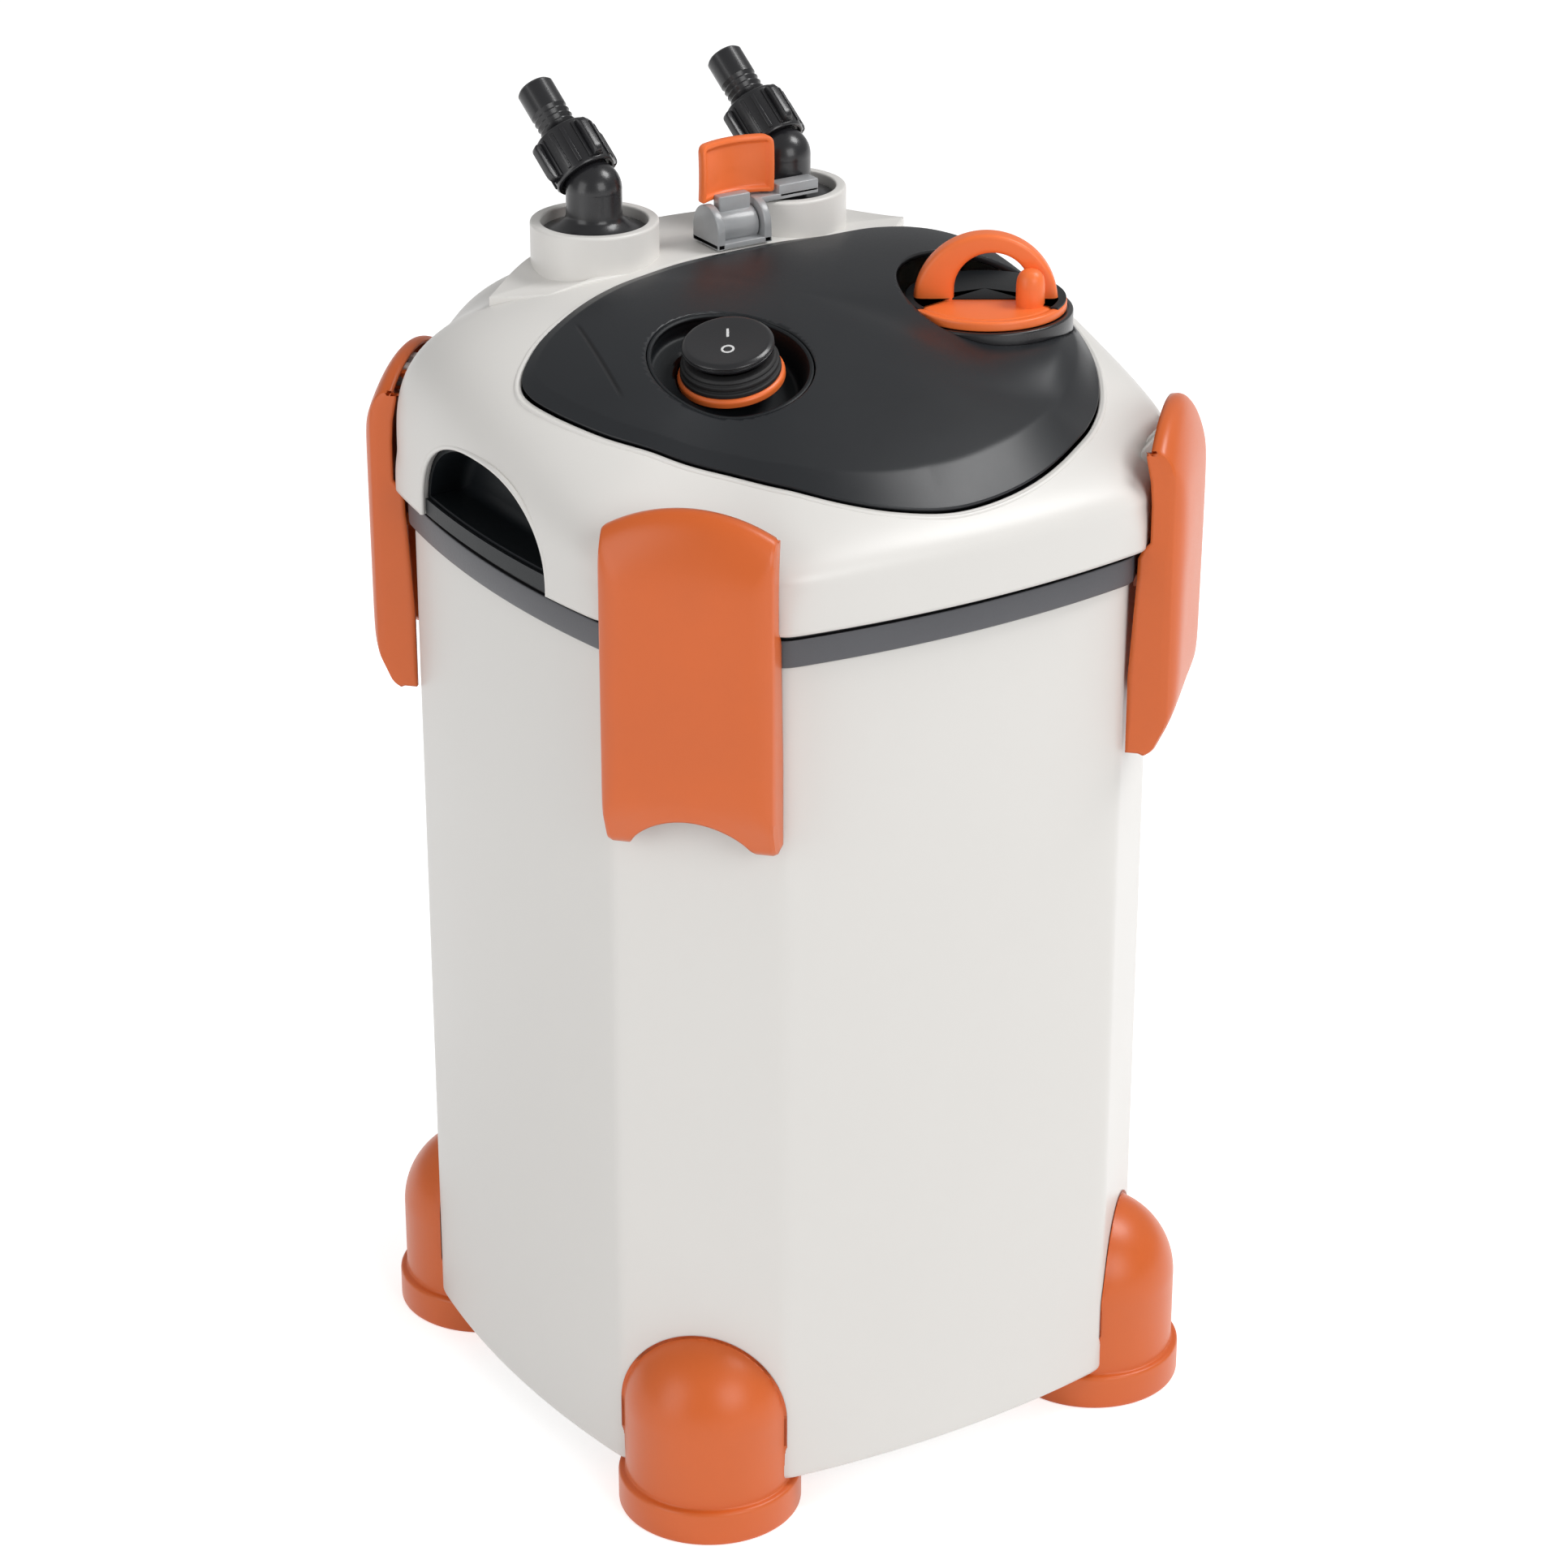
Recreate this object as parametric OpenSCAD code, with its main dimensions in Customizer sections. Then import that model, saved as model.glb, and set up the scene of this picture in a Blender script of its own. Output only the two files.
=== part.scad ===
// Canister filter: a square canister with bulged faces and chamfered corners, a domed
// pump head held by four corner clips, stacked media baskets, a pre-filter in the head
// and two swivelling hose connectors. Millimetres, +Z up, floor at z = 0, front at -Y.

/* [Canister] */
// Half the distance between the chords of two opposite faces
face_half = 110; // [104:1:120]
// How far each face bulges outwards at its middle
face_bulge = 6; // [3:0.5:9]
// Half width of a bulged face, where the corner chamfers start
face_flat = 68; // [64:1:72]
// Wall thickness of the canister
canister_wall = 3.5; // [2.5:0.25:4.5]
// Thickness of the canister floor
canister_floor = 4; // [3:0.5:6]
// Height of the dark rim band
band_h = 12.5; // [10:0.5:16]
// How far the rim band stands proud of the canister
band_proud = 2; // [1.5:0.25:3]

/* [Feet] */
// Distance from the floor to the canister's underside
foot_drop = 15; // [12:0.5:20]
// Radius of the upright, domed part of a foot
foot_r = 30; // [26:0.5:31]
// Height of the dome's centre above the floor
foot_dome_z = 41; // [35:0.5:50]
// How far the round sole stands out beyond the upright part
foot_sole_rim = 2.5; // [1:0.5:5]
// Height of the sole
foot_sole_h = 13; // [8:0.5:14]

/* [Head] */
// How far the head's skirt stands proud of the canister
skirt_proud = 6; // [5:0.25:7]
// Wall thickness of the head shell
head_wall = 3; // [2.5:0.25:4]
// Height of the upright skirt above the rim band
skirt_h = 16; // [14:0.5:20]
// Height of the crown above the rim band
crown_h = 77; // [70:1:84]
// Slope at which the crown falls towards the front
crown_slope = 0.31; // [0.2:0.01:0.35]
// Squareness of the dome's edge curve at the front
dome_power = 2.8; // [2.4:0.05:3]
// Squareness of the dome's edge curve at the back
back_power = 3.5; // [3:0.1:3.8]
// Thickness of the plate that closes the head's underside
base_t = 4; // [3:0.5:5]
// Width of one finger grip at the skirt
grip_w = 88; // [70:1:92]
// Height of one finger grip
grip_h = 35; // [28:1:37]
// Depth of one finger grip
grip_depth = 21; // [16:1:24]

/* [Top cover] */
// How far the cover's plateau stands above the dome
cover_lift = 6; // [4:0.5:8]
// Thickness of the cover
cover_t = 2.4; // [2:0.2:3]
// Gap between the cover and the head shell
cover_gap = 0.5; // [0.4:0.1:1]

/* [Switch] */
// Place of the switch, left to right
switch_x = -37.2; // [-40:0.2:-34]
// Place of the switch, front to back
switch_y = -26.6; // [-28:0.2:-22]
// Height of the switch's mounting face above the rim band
switch_z = 55.6; // [53:0.1:58]
// Tilt of the switch towards the front
switch_tilt = 16; // [12:1:20]
// Direction in which the switch leans, from straight ahead
switch_yaw = -50; // [-60:5:0]
// Tilt of the recess around the switch
bowl_tilt = 24; // [18:1:26]
// Radius of the recess around the switch
bowl_r = 28.4; // [26:0.2:29]
// Radius of the rocker's cap
rocker_r = 15.5; // [14:0.5:16.5]
// Rocker angle to either side
rocker_swing = 7; // [4:1:8]

/* [Pre-filter] */
// Place of the pre-filter, left to right
well_x = 68; // [66:1:70]
// Place of the pre-filter, front to back
well_y = -23; // [-26:1:-20]
// Height of the cap's seat above the rim band
well_z = 62; // [60:0.5:64]
// Inside radius of the well
well_r = 25; // [24:0.5:26]
// Height of the handle's arch above the cap
arch_h = 25; // [20:1:28]
// Direction in which the handle points
arch_yaw = -32; // [-60:1:0]

/* [Hose side] */
// Half the distance between the two hose collars
collar_x = 38.6; // [37:0.2:40]
// Distance of the collars behind the middle
collar_y = 62; // [60:0.5:64]
// Height of the collar rims above the rim band
collar_z = 87.5; // [86:0.5:89]
// Outside radius of a collar
collar_r = 22.5; // [21.5:0.25:23]
// Lean of the connector's outlet from upright
elbow_lean = 50; // [40:1:55]
// Turn of the connector's outlet from straight back
elbow_yaw = 7; // [0:1:15]
// Outside radius of the hose tail
tail_r = 6.7; // [6:0.1:7.2]
// Inside radius of the hose tail
tail_bore_r = 4.8; // [4:0.1:5.2]
// Length of the hose tail outside the nut
tail_len = 21; // [18:0.5:26]

/* [Clips] */
// Half width of a corner clip
clip_half_w = 30; // [28.5:0.5:31]
// Wall thickness of a clip
clip_wall = 3; // [2.5:0.25:3.5]
// Radius of a clip's pin
clip_pin_r = 2; // [1.6:0.1:2.4]
// Height of the clip's pin above the rim band
clip_pin_z = 33.5; // [33:0.25:34]

/* [Pump] */
// Place of the pump, left to right
pump_x = 8; // [6:1:10]
// Place of the pump, front to back
pump_y = 12; // [10:1:14]
// Radius of the stator block
stator_r = 24; // [22:0.5:26]
// Radius of the rotor magnet
magnet_r = 8.5; // [7.5:0.25:9]
// Radius of the impeller
impeller_r = 16; // [14:0.5:17]
// Radius of the ceramic shaft
shaft_r = 2; // [1.5:0.1:2.5]

/* [Baskets] */
// Height of one media basket
basket_h = 92; // [84:0.5:93]
// Room for the pump between the upper basket and the rim band
pump_room = 31.6; // [30:0.2:60]
// Gap between the baskets and the canister's wall
basket_gap = 2; // [1.5:0.5:4]
// Wall thickness of a basket
basket_wall = 2; // [1.6:0.2:3]

/* [Hidden] */
seat_gap = 0.3;        // between seated pieces
run_gap = 0.06;        // radial, on pins and shafts
eps = 0.01;
face_mid = face_half + face_bulge;
face_arc_r = (face_flat*face_flat + face_bulge*face_bulge)/(2*face_bulge);
chamfer_d = (face_half + face_flat)/sqrt(2);

z_can = foot_drop;
z_floor = z_can + canister_floor;
canister_h = canister_floor + 3*(basket_h + seat_gap) + pump_room;
z_band = z_can + canister_h;
z_rim = z_band + band_h;
z_lip = z_rim - 4;
z_skirt = z_rim + seat_gap;
z_base = z_rim + 1.3;
z_plate = z_base + base_t;
z_shoulder = z_rim + skirt_h;
crown_top = z_rim + crown_h;
z_collar = z_rim + collar_z;
z_shelf = z_collar - 6.6;
z_deck = z_collar - 13.6;

WHITE = [0.90, 0.89, 0.87];
ORANGE = [0.85, 0.42, 0.22];
BRIGHT = [0.95, 0.45, 0.2];
DARK = [0.2, 0.21, 0.22];
BLACK = [0.08, 0.08, 0.09];
GREY = [0.6, 0.61, 0.62];
RUBBER = [0.12, 0.12, 0.12];

// ---- plan outline of canister and head ----
module plan(off = 0) {
    intersection() {
        intersection_for (k = [0:3]) rotate(90*k)
            translate([face_mid - face_arc_r, 0]) circle(r = face_arc_r + off, $fn = 180);
        rotate(45) square(2*(chamfer_d + off), center = true);
    }
}

module plan_ring(outer, inner, z0, z1) {
    translate([0, 0, z0]) linear_extrude(z1 - z0) difference() {
        plan(outer);
        plan(inner);
    }
}

// angle folded into -180..180
function fold(a) = let (b = (a % 360 + 360) % 360) b > 180 ? b - 360 : b;
function face_dist(a, off) = let (c = face_mid - face_arc_r, r = face_arc_r + off)
    c*cos(a) + sqrt(r*r - pow(c*sin(a), 2));
// distances from the axis to each of the eight sides, in direction a
function side_dists(a, off) = [for (k = [0:3])
    each [let (b = fold(a - 90*k)) abs(b) < 65 ? face_dist(b, off) : 1e4,
          let (b = fold(a - 45 - 90*k)) abs(b) < 65 ? (chamfer_d + off)/cos(b) : 1e4]];
function plan_r(a, off) = min(side_dists(a, off));
// the same outline with its corners eased, used for the dome
corner_ease = 60;
function sum(v, i = 0) = i < len(v) ? v[i] + sum(v, i + 1) : 0;
function dome_r(a, off) =
    pow(sum([for (d = side_dists(a, off)) pow(d/100, -corner_ease)]), -1/corner_ease)*100;

// height of the crown line at depth y: level behind, falling to the front and the back edge
crown_y = 14;
crown_soft = 18;
back_y = 66;
back_soft = 7;
back_slope = 0.1;
// the edge curve is rounder over the corners and squarer towards the back
corner_round = 0.75;
function edge_power(a, y) = dome_power + (back_power - dome_power)*smooth((y + 40)/80)
    - corner_round*pow(sin(2*a), 4);
function softplus(u, w) = w*ln(1 + exp(u/w));
function crown_z(y) = crown_top - crown_slope*softplus(crown_y - y, crown_soft)
    - back_slope*softplus(y - back_y, back_soft);
function edge_fall(u, p) = pow(max(0, 1 - pow(u, p)), 1/p);
// dome surface over the plan, moved inwards by inset
function dome_z(x, y, inset = 0) = let (a = atan2(y, x),
        u = norm([x, y])/dome_r(a, skirt_proud - inset))
    z_shoulder + (crown_z(y) - inset - z_shoulder)*edge_fall(min(u, 1), edge_power(a, y));

// closed mesh through rings of equal length; loop joins the last ring to the first,
// otherwise each end is closed by a fan to its own centre point
module loft(rings, loop = false) {
    n = len(rings[0]);
    m = len(rings);
    last = loop ? m - 1 : m - 2;
    pts = [for (r = rings) each r];
    mid = [sum_pts(rings[0])/n, sum_pts(rings[m - 1])/n];
    sides = [for (i = [0:last], j = [0:n - 1])
        let (k = (i + 1) % m, q = (j + 1) % n)
        each [[i*n + j, k*n + q, i*n + q], [i*n + j, k*n + j, k*n + q]]];
    ends = loop ? [] : [for (j = [0:n - 1]) let (q = (j + 1) % n)
        each [[m*n, j, q], [m*n + 1, (m - 1)*n + q, (m - 1)*n + j]]];
    polyhedron(points = loop ? pts : concat(pts, mid), faces = concat(sides, ends));
}
function sum_pts(v, i = 0) = i < len(v) ? v[i] + sum_pts(v, i + 1) : [0, 0, 0];

// ---- top cover outline: a smooth closed curve through these corners ----
cover_corners = [[-104, -2], [-102, -19], [-93, -40], [-80, -56], [-66, -70], [-54, -85],
    [-40, -98], [-24, -107], [-5, -112], [16, -111], [36, -105.5], [55, -95.5], [72, -82],
    [87, -66], [97, -46], [102, -24], [102, -2], [97, 18], [84, 32], [64, 38], [40, 38],
    [15, 36.5], [-10, 35.5], [-34, 33.5], [-56, 27], [-77, 18], [-94, 9]];
function spline(p0, p1, p2, p3, t) = 0.5*((2*p1) + (p2 - p0)*t
    + (2*p0 - 5*p1 + 4*p2 - p3)*t*t + (3*p1 - p0 - 3*p2 + p3)*t*t*t);
cover_steps = 3;
function cover_curve(inset = 0) = let (n = len(cover_corners),
    c = [for (i = [0:n - 1], s = [0:cover_steps - 1])
        spline(cover_corners[(i + n - 1) % n], cover_corners[i], cover_corners[(i + 1) % n],
               cover_corners[(i + 2) % n], s/cover_steps)], m = len(c))
    [for (i = [0:m - 1]) let (d = c[(i + 1) % m] - c[(i + m - 1) % m])
        c[i] + inset*[-d[1], d[0]]/norm(d)];

// ---- head shell ----
// the shell's columns run from the cover's edge to the skirt; the nearest ones meet its corners
corner_at = 31.52;
corner_angles = [for (k = [0:3]) each [90*k + corner_at, 90*k + 90 - corner_at]];
cover_angles = [for (p = cover_curve(0)) atan2(p[1], p[0])];
function nearest_column(c) = let (d = [for (a = cover_angles) abs(fold(a - c))], low = min(d))
    [for (i = [0:len(d) - 1]) if (d[i] == low) i][0];
corner_columns = [for (c = corner_angles) nearest_column(c)];
column_angles = [for (i = [0:len(cover_angles) - 1])
    let (hit = [for (k = [0:7]) if (corner_columns[k] == i) corner_angles[k]])
    len(hit) > 0 ? hit[0] : cover_angles[i]];
// one ring of the dome between the skirt outline and the cover's edge, u from 0 to 1
function dome_ring(u, inset, hole) = [for (i = [0:len(hole) - 1])
    let (p = hole[i], b = atan2(p[1], p[0]), a = b + fold(column_angles[i] - b)*(1 - u),
         r1 = dome_r(a, skirt_proud - inset), r0 = norm(p),
         r = r1 + (r0 - r1)*u)
    [r*cos(a), r*sin(a), dome_z(r*cos(a), r*sin(a), inset)]];
function skirt_ring(z, inset, hole) = [for (i = [0:len(hole) - 1]) let (a = column_angles[i],
    r = plan_r(a, skirt_proud - inset)) [r*cos(a), r*sin(a), z]];
dome_us = [0.02, 0.06, 0.12, 0.2, 0.32, 0.48, 0.7, 1];

module dome_skin() {
    hole = cover_curve(0);
    hole_in = cover_curve(0);
    outer = concat([skirt_ring(z_skirt, 0, hole)], [skirt_ring(z_shoulder - 6, 0, hole)],
        [for (u = dome_us) dome_ring(u, 0, hole)]);
    inner = concat([for (i = [len(dome_us) - 1:-1:0]) dome_ring(dome_us[i], head_wall, hole_in)],
        [skirt_ring(z_shoulder - 6, head_wall, hole_in)], [skirt_ring(z_skirt, head_wall, hole_in)]);
    loft(concat(outer, inner), loop = true);
}

// finger grip outline on the skirt: half an ellipse on a flat base
grip_base = 1.5;
function grip_outline(inset, base) = [for (i = [0:16]) let (a = 180*i/16)
    [(grip_w/2 - inset)*sign(cos(a))*pow(abs(cos(a)), 0.85),
     z_rim + base + (grip_h - base - inset)*pow(sin(a), 0.85)]];
module grip_block(inset, base, x0, x1) {
    translate([x0, 0, 0]) rotate([90, 0, 90]) linear_extrude(x1 - x0)
        polygon(grip_outline(inset, base));
}

screw_spots = [for (s = [-1, 1]) each [[0, s*(face_mid - 11)],
    [-face_half + 50, s*(face_mid - 15)], [face_half - 50, s*(face_mid - 15)]]];
boss_r = 4.5;
boss_h = 9;
// each boss is tied to the skirt by a rib that ends inside the wall
function rib_end(x) = face_mid + skirt_proud - head_wall/2 - x*x/(2*face_arc_r);
module screw_bosses() {
    for (p = screw_spots) {
        s = sign(p[1]);
        rib = rib_end(p[0]) - abs(p[1]);
        difference() {
            union() {
                translate([p[0], p[1], z_plate]) cylinder(r = boss_r, h = boss_h, $fn = 40);
                translate([p[0] - 3, p[1] - (s < 0 ? rib : 0), z_plate])
                    cube([6, rib, boss_h]);
            }
            translate([p[0], p[1], z_plate - 1]) cylinder(r = screw_r + 0.05, h = boss_h + 2, $fn = 32);
        }
    }
}

// frame of one corner: x runs outwards along the diagonal, y across the chamfer
corner_names = ["back_right", "back_left", "front_left", "front_right"];
module at_corner(k) rotate(45 + 90*k) children();
// profile in distance and height, given thickness across the chamfer
module across(w) rotate([90, 0, 0]) linear_extrude(w, center = true) children();

pin_d = chamfer_d + 9.1;
z_pin = z_rim + clip_pin_z;
ear_t = 5.5;
ear_w = 5;
ear_r = 3.4;
module clip_ears() {
    for (k = [0:3], s = [-1, 1]) at_corner(k) translate([0, s*ear_t, 0]) difference() {
        across(ear_w) union() {
            polygon([[chamfer_d + 1, z_skirt + 6], [chamfer_d + skirt_proud - 1.2, z_skirt + 6],
                [pin_d + 3.2, z_pin - 1.2], [pin_d - 3.2, z_pin - 1.2],
                [chamfer_d - 1, z_pin - 6]]);
            translate([pin_d, z_pin]) circle(r = ear_r, $fn = 48);
        }
        translate([pin_d, 0, z_pin]) rotate([90, 0, 0])
            cylinder(r = clip_pin_r + 0.02, h = 2*ear_w, center = true, $fn = 48);
    }
}

collar_bore_r = 18.7;
shelf_bore_r = 11.2;
deck_half_w = 85;
deck_tip_y = 54;
deck_back = 36;
deck_front = 38;
gland_x = 54;
gland_z = z_rim + 22.5;
gland_r = 7;
gland_bore_r = 3.6;
gland_turn = asin(gland_x/(face_arc_r + skirt_proud));
gland_y = face_mid - face_arc_r + (face_arc_r + skirt_proud)*cos(gland_turn);
// outwards along z, square to the back of the skirt
module at_gland() translate([gland_x, gland_y, gland_z]) rotate([0, 0, -gland_turn])
    rotate([-90, 0, 0]) children();

// lens of two arcs that meet in a tip at either side
function arc_r(sag) = (deck_half_w*deck_half_w + sag*sag)/(2*sag);
module deck_outline() {
    intersection() {
        translate([0, deck_tip_y + deck_back - arc_r(deck_back)])
            circle(r = arc_r(deck_back), $fn = 180);
        translate([0, deck_tip_y - deck_front + arc_r(deck_front)])
            circle(r = arc_r(deck_front), $fn = 180);
    }
}

module head_shell() {
    color(WHITE) difference() {
        union() {
            dome_skin();
            for (s = [-1, 1]) translate([s*collar_x, collar_y, z_deck - 9])
                cylinder(r = collar_r, h = z_collar - z_deck + 9, $fn = 96);
            translate([0, 0, z_deck - 3]) linear_extrude(3) difference() {
                deck_outline();
                translate([-60, -60]) square([140, 99]);
            }
            screw_bosses();
            clip_ears();
        }
        for (s = [-1, 1]) translate([s*collar_x, collar_y, 0]) {
            translate([0, 0, z_shelf]) cylinder(r = collar_bore_r, h = 20, $fn = 96);
            translate([0, 0, z_deck - 20]) cylinder(r = shelf_bore_r, h = 60, $fn = 96);
        }
        grip_block(0, grip_base, -face_mid - 20, -face_mid + 14);
        grip_block(0, grip_base, face_mid - 14, face_mid + 20);
        at_gland() translate([0, 0, -12]) cylinder(r = gland_r + 0.1, h = 20, $fn = 48);
    }
}

grip_wall = 1.8;
grip_inset = 2.6;
grip_floor = z_plate - z_rim + seat_gap;
// the part of the grip's outline above a floor
module grip_room(inset, floor, x0, x1) {
    translate([x0, 0, 0]) rotate([90, 0, 90]) linear_extrude(x1 - x0) intersection() {
        polygon(grip_outline(inset, grip_base));
        translate([-grip_w, z_rim + floor]) square([2*grip_w, grip_h]);
    }
}
module grip_cup(side) {
    color(BLACK) mirror([side > 0 ? 1 : 0, 0, 0]) intersection() {
        translate([0, 0, z_skirt]) linear_extrude(60) plan(skirt_proud - grip_inset);
        difference() {
            grip_room(seat_gap, grip_floor, -face_mid - 12, -face_mid + grip_depth - skirt_proud);
            grip_room(seat_gap + grip_wall, grip_floor + grip_wall, -face_mid - 14,
                -face_mid + grip_depth - skirt_proud - grip_wall);
        }
    }
}

screw_r = 1.5;
screw_head_r = 3.2;
screw_head_h = 1.9;
module base_screws() {
    color(GREY) for (p = screw_spots) translate([p[0], p[1], z_base]) {
        translate([0, 0, -screw_head_h]) difference() {
            cylinder(r = screw_head_r, h = screw_head_h, $fn = 40);
            translate([-2.4, -0.35, -eps]) cube([4.8, 0.7, 0.9]);
            translate([-0.35, -2.4, -eps]) cube([0.7, 4.8, 0.9]);
        }
        cylinder(r = screw_r, h = base_t + boss_h - 1, $fn = 32);
    }
}

// ---- top cover ----
// lift of the cover above the dome at depth t (0 at the edge, 1 at the middle): a sloping
// wall at the front right, nearly flush at the left tip and at the back
cover_us = [0, 0.05, 0.1, 0.17, 0.26, 0.45, 0.7, 0.93];
function cover_share(p) = let (a = fold(atan2(p[1], p[0]) + 55)) 0.22 + 0.78*pow(cos(a/2), 4);
function smooth(t) = let (c = max(0, min(1, t))) c*c*(3 - 2*c);
function cover_ring(t, drop, edge) = [for (p = edge)
    let (q = p*(1 - t) + [8, -20]*t, h = 1 + (cover_lift - 1)*smooth(t/0.17)*cover_share(p))
    [q[0], q[1], dome_z(q[0], q[1]) + h - drop]];

module top_cover() {
    edge = cover_curve(cover_gap);
    under = cover_t + 0.6;
    color(DARK) difference() {
        loft(concat([for (i = [len(cover_us) - 1:-1:0]) cover_ring(cover_us[i], under, edge)],
            [for (t = cover_us) cover_ring(t, 0, edge)]));
        at_bowl() translate([0, 0, -20]) cylinder(r = bowl_r, h = 60, $fn = 96);
        at_well(z_seat - 40) cylinder(r = well_r + 5.5 + seat_gap, h = 80, $fn = 96);
    }
}

// ---- pump ----
z_chamber = z_base - 18;
chamber_r = impeller_r + 4;
chamber_wall = 2.4;
duct_r = 6;
duct_wall = 2;
duct_z = z_base - duct_r - duct_wall + 2;
duct_vec = [-collar_x - pump_x, collar_y - pump_y];
duct_len = norm(duct_vec);
duct_yaw = atan2(duct_vec[1], duct_vec[0]);
magnet_gap = 1;
spigot_r = 13;

module head_base() {
    color(DARK) difference() {
        union() {
            translate([0, 0, z_base]) linear_extrude(base_t) plan(skirt_proud - head_wall - 0.6);
            translate([pump_x, pump_y, z_chamber])
                cylinder(r = chamber_r + chamber_wall, h = z_base - z_chamber + 1, $fn = 80);
            translate([pump_x, pump_y, duct_z]) rotate([0, 0, duct_yaw]) rotate([0, 90, 0])
                translate([0, 0, chamber_r + 1])
                cylinder(r = duct_r + duct_wall, h = duct_len - chamber_r - 1, $fn = 48);
            translate([-collar_x, collar_y, duct_z - duct_r - duct_wall - 1.5])
                cylinder(r = duct_r + duct_wall + 1.3, h = z_base - duct_z + duct_r + duct_wall + 2.5, $fn = 48);
            translate([well_x, well_y, z_base - 14])
                cylinder(r = spigot_r + 4, h = 15, $fn = 72);
        }
        translate([pump_x, pump_y, z_chamber - 1])
            cylinder(r = chamber_r, h = z_base - z_chamber + 1.5, $fn = 80);
        translate([pump_x, pump_y, z_base - 1])
            cylinder(r = magnet_r + magnet_gap, h = base_t + 2, $fn = 64);
        translate([pump_x, pump_y, duct_z]) rotate([0, 0, duct_yaw]) rotate([0, 90, 0])
            translate([0, 0, chamber_r - 3]) cylinder(r = duct_r - 1, h = duct_len - chamber_r + 3, $fn = 48);
        translate([-collar_x, collar_y, duct_z - duct_r])
            cylinder(r = duct_r, h = 60, $fn = 48);
        translate([well_x, well_y, z_base - 15])
            cylinder(r = spigot_r + 0.3, h = 15.5, $fn = 72);
        translate([well_x, well_y, z_base - 1]) cylinder(r = riser_r - riser_wall, h = 20, $fn = 72);
        for (p = screw_spots) translate([p[0], p[1], z_base - 1])
            cylinder(r = screw_r + 0.1, h = base_t + 2, $fn = 32);
    }
}

module chamber_cover() {
    color(DARK) translate([pump_x, pump_y, 0]) {
        difference() {
            translate([0, 0, z_chamber - 3])
                cylinder(r = chamber_r + chamber_wall, h = 3, $fn = 80);
            translate([0, 0, z_chamber - 4]) cylinder(r = 9, h = 5, $fn = 64);
        }
        difference() {
            union() {
                for (a = [0:120:240]) rotate(a) translate([0, -1, z_chamber - 3]) cube([9.5, 2, 3]);
                translate([0, 0, z_chamber - 3]) cylinder(r = 5, h = 3, $fn = 48);
            }
            translate([0, 0, z_chamber - 4]) cylinder(r = bush_r + 0.05, h = 5, $fn = 48);
        }
    }
}

bush_r = 3.6;
bush_h = 4;
z_shaft0 = z_chamber - 3;
z_shaft1 = z_plate + 40;
module shaft_bushes() {
    color(RUBBER) translate([pump_x, pump_y, 0]) for (z = [z_shaft0, z_shaft1 - bush_h])
        translate([0, 0, z]) difference() {
            cylinder(r = bush_r, h = bush_h - 1, $fn = 48);
            translate([0, 0, -1]) cylinder(r = shaft_r + 0.02, h = bush_h + 2, $fn = 48);
        }
}

module rotor_shaft() {
    color("ivory") translate([pump_x, pump_y, z_shaft0])
        cylinder(r = shaft_r, h = z_shaft1 - z_shaft0 - 1.2, $fn = 48);
}

z_mag0 = z_base - 2;
z_mag1 = z_shaft1 - bush_h - 1.5;
module rotor_magnet() {
    color("dimgray") translate([pump_x, pump_y, z_mag0]) difference() {
        cylinder(r = magnet_r, h = z_mag1 - z_mag0, $fn = 64);
        translate([0, 0, -1]) cylinder(r = shaft_r + run_gap, h = 60, $fn = 48);
    }
}

blade_h = 8;
module impeller() {
    color(GREY) translate([pump_x, pump_y, z_mag0 - 10.5]) difference() {
        union() {
            cylinder(r = 5, h = 10.5, $fn = 48);
            translate([0, 0, blade_h]) cylinder(r = impeller_r, h = 1.6, $fn = 64);
            for (a = [0:60:300]) rotate(a) translate([3, 1.5, 0]) rotate(18)
                cube([impeller_r - 5, 1.4, blade_h + 0.5]);
        }
        translate([0, 0, -1]) cylinder(r = shaft_r + run_gap, h = 60, $fn = 48);
    }
}

module stator() {
    color([0.25, 0.26, 0.3]) difference() {
        translate([pump_x, pump_y, z_plate]) union() {
            cylinder(r = stator_r, h = 45, $fn = 80);
            translate([-stator_r - 3, -8, 0]) cube([2*stator_r + 6, 16, 38]);
        }
        translate([pump_x, pump_y, z_plate - 1])
            cylinder(r = magnet_r + magnet_gap, h = z_shaft1 - z_plate - bush_h, $fn = 64);
        translate([pump_x, pump_y, z_plate])
            cylinder(r = bush_r + 0.05, h = z_shaft1 - z_plate - 1, $fn = 48);
    }
}

// ---- canister side ----
module canister_shell() {
    color(WHITE) difference() {
        translate([0, 0, z_can]) linear_extrude(z_lip - z_can) plan(0);
        translate([0, 0, z_floor]) linear_extrude(z_lip - z_floor + 1) plan(-canister_wall);
    }
}

foot_d = chamfer_d - 8.4;
module foot(k) {
    color(ORANGE) at_corner(k) difference() {
        translate([foot_d, 0, 0]) {
            cylinder(r = foot_r + foot_sole_rim, h = foot_sole_h, $fn = 96);
            translate([0, 0, foot_sole_h - 1]) cylinder(r = foot_r, h = foot_dome_z - foot_sole_h + 1, $fn = 96);
            translate([0, 0, foot_dome_z]) sphere(r = foot_r, $fn = 96);
        }
        rotate(-45 - 90*k) translate([0, 0, z_can - seat_gap])
            linear_extrude(foot_dome_z + foot_r) plan(seat_gap);
    }
}

module rim_band() {
    color(DARK) {
        plan_ring(band_proud, 0.25, z_band, z_rim);
        plan_ring(0.4, -5, z_lip, z_lip + 2.5);
    }
}

module body_gasket() {
    color(RUBBER) plan_ring(-0.2, -4.8, z_lip + 2.5, z_base - seat_gap);
}

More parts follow.
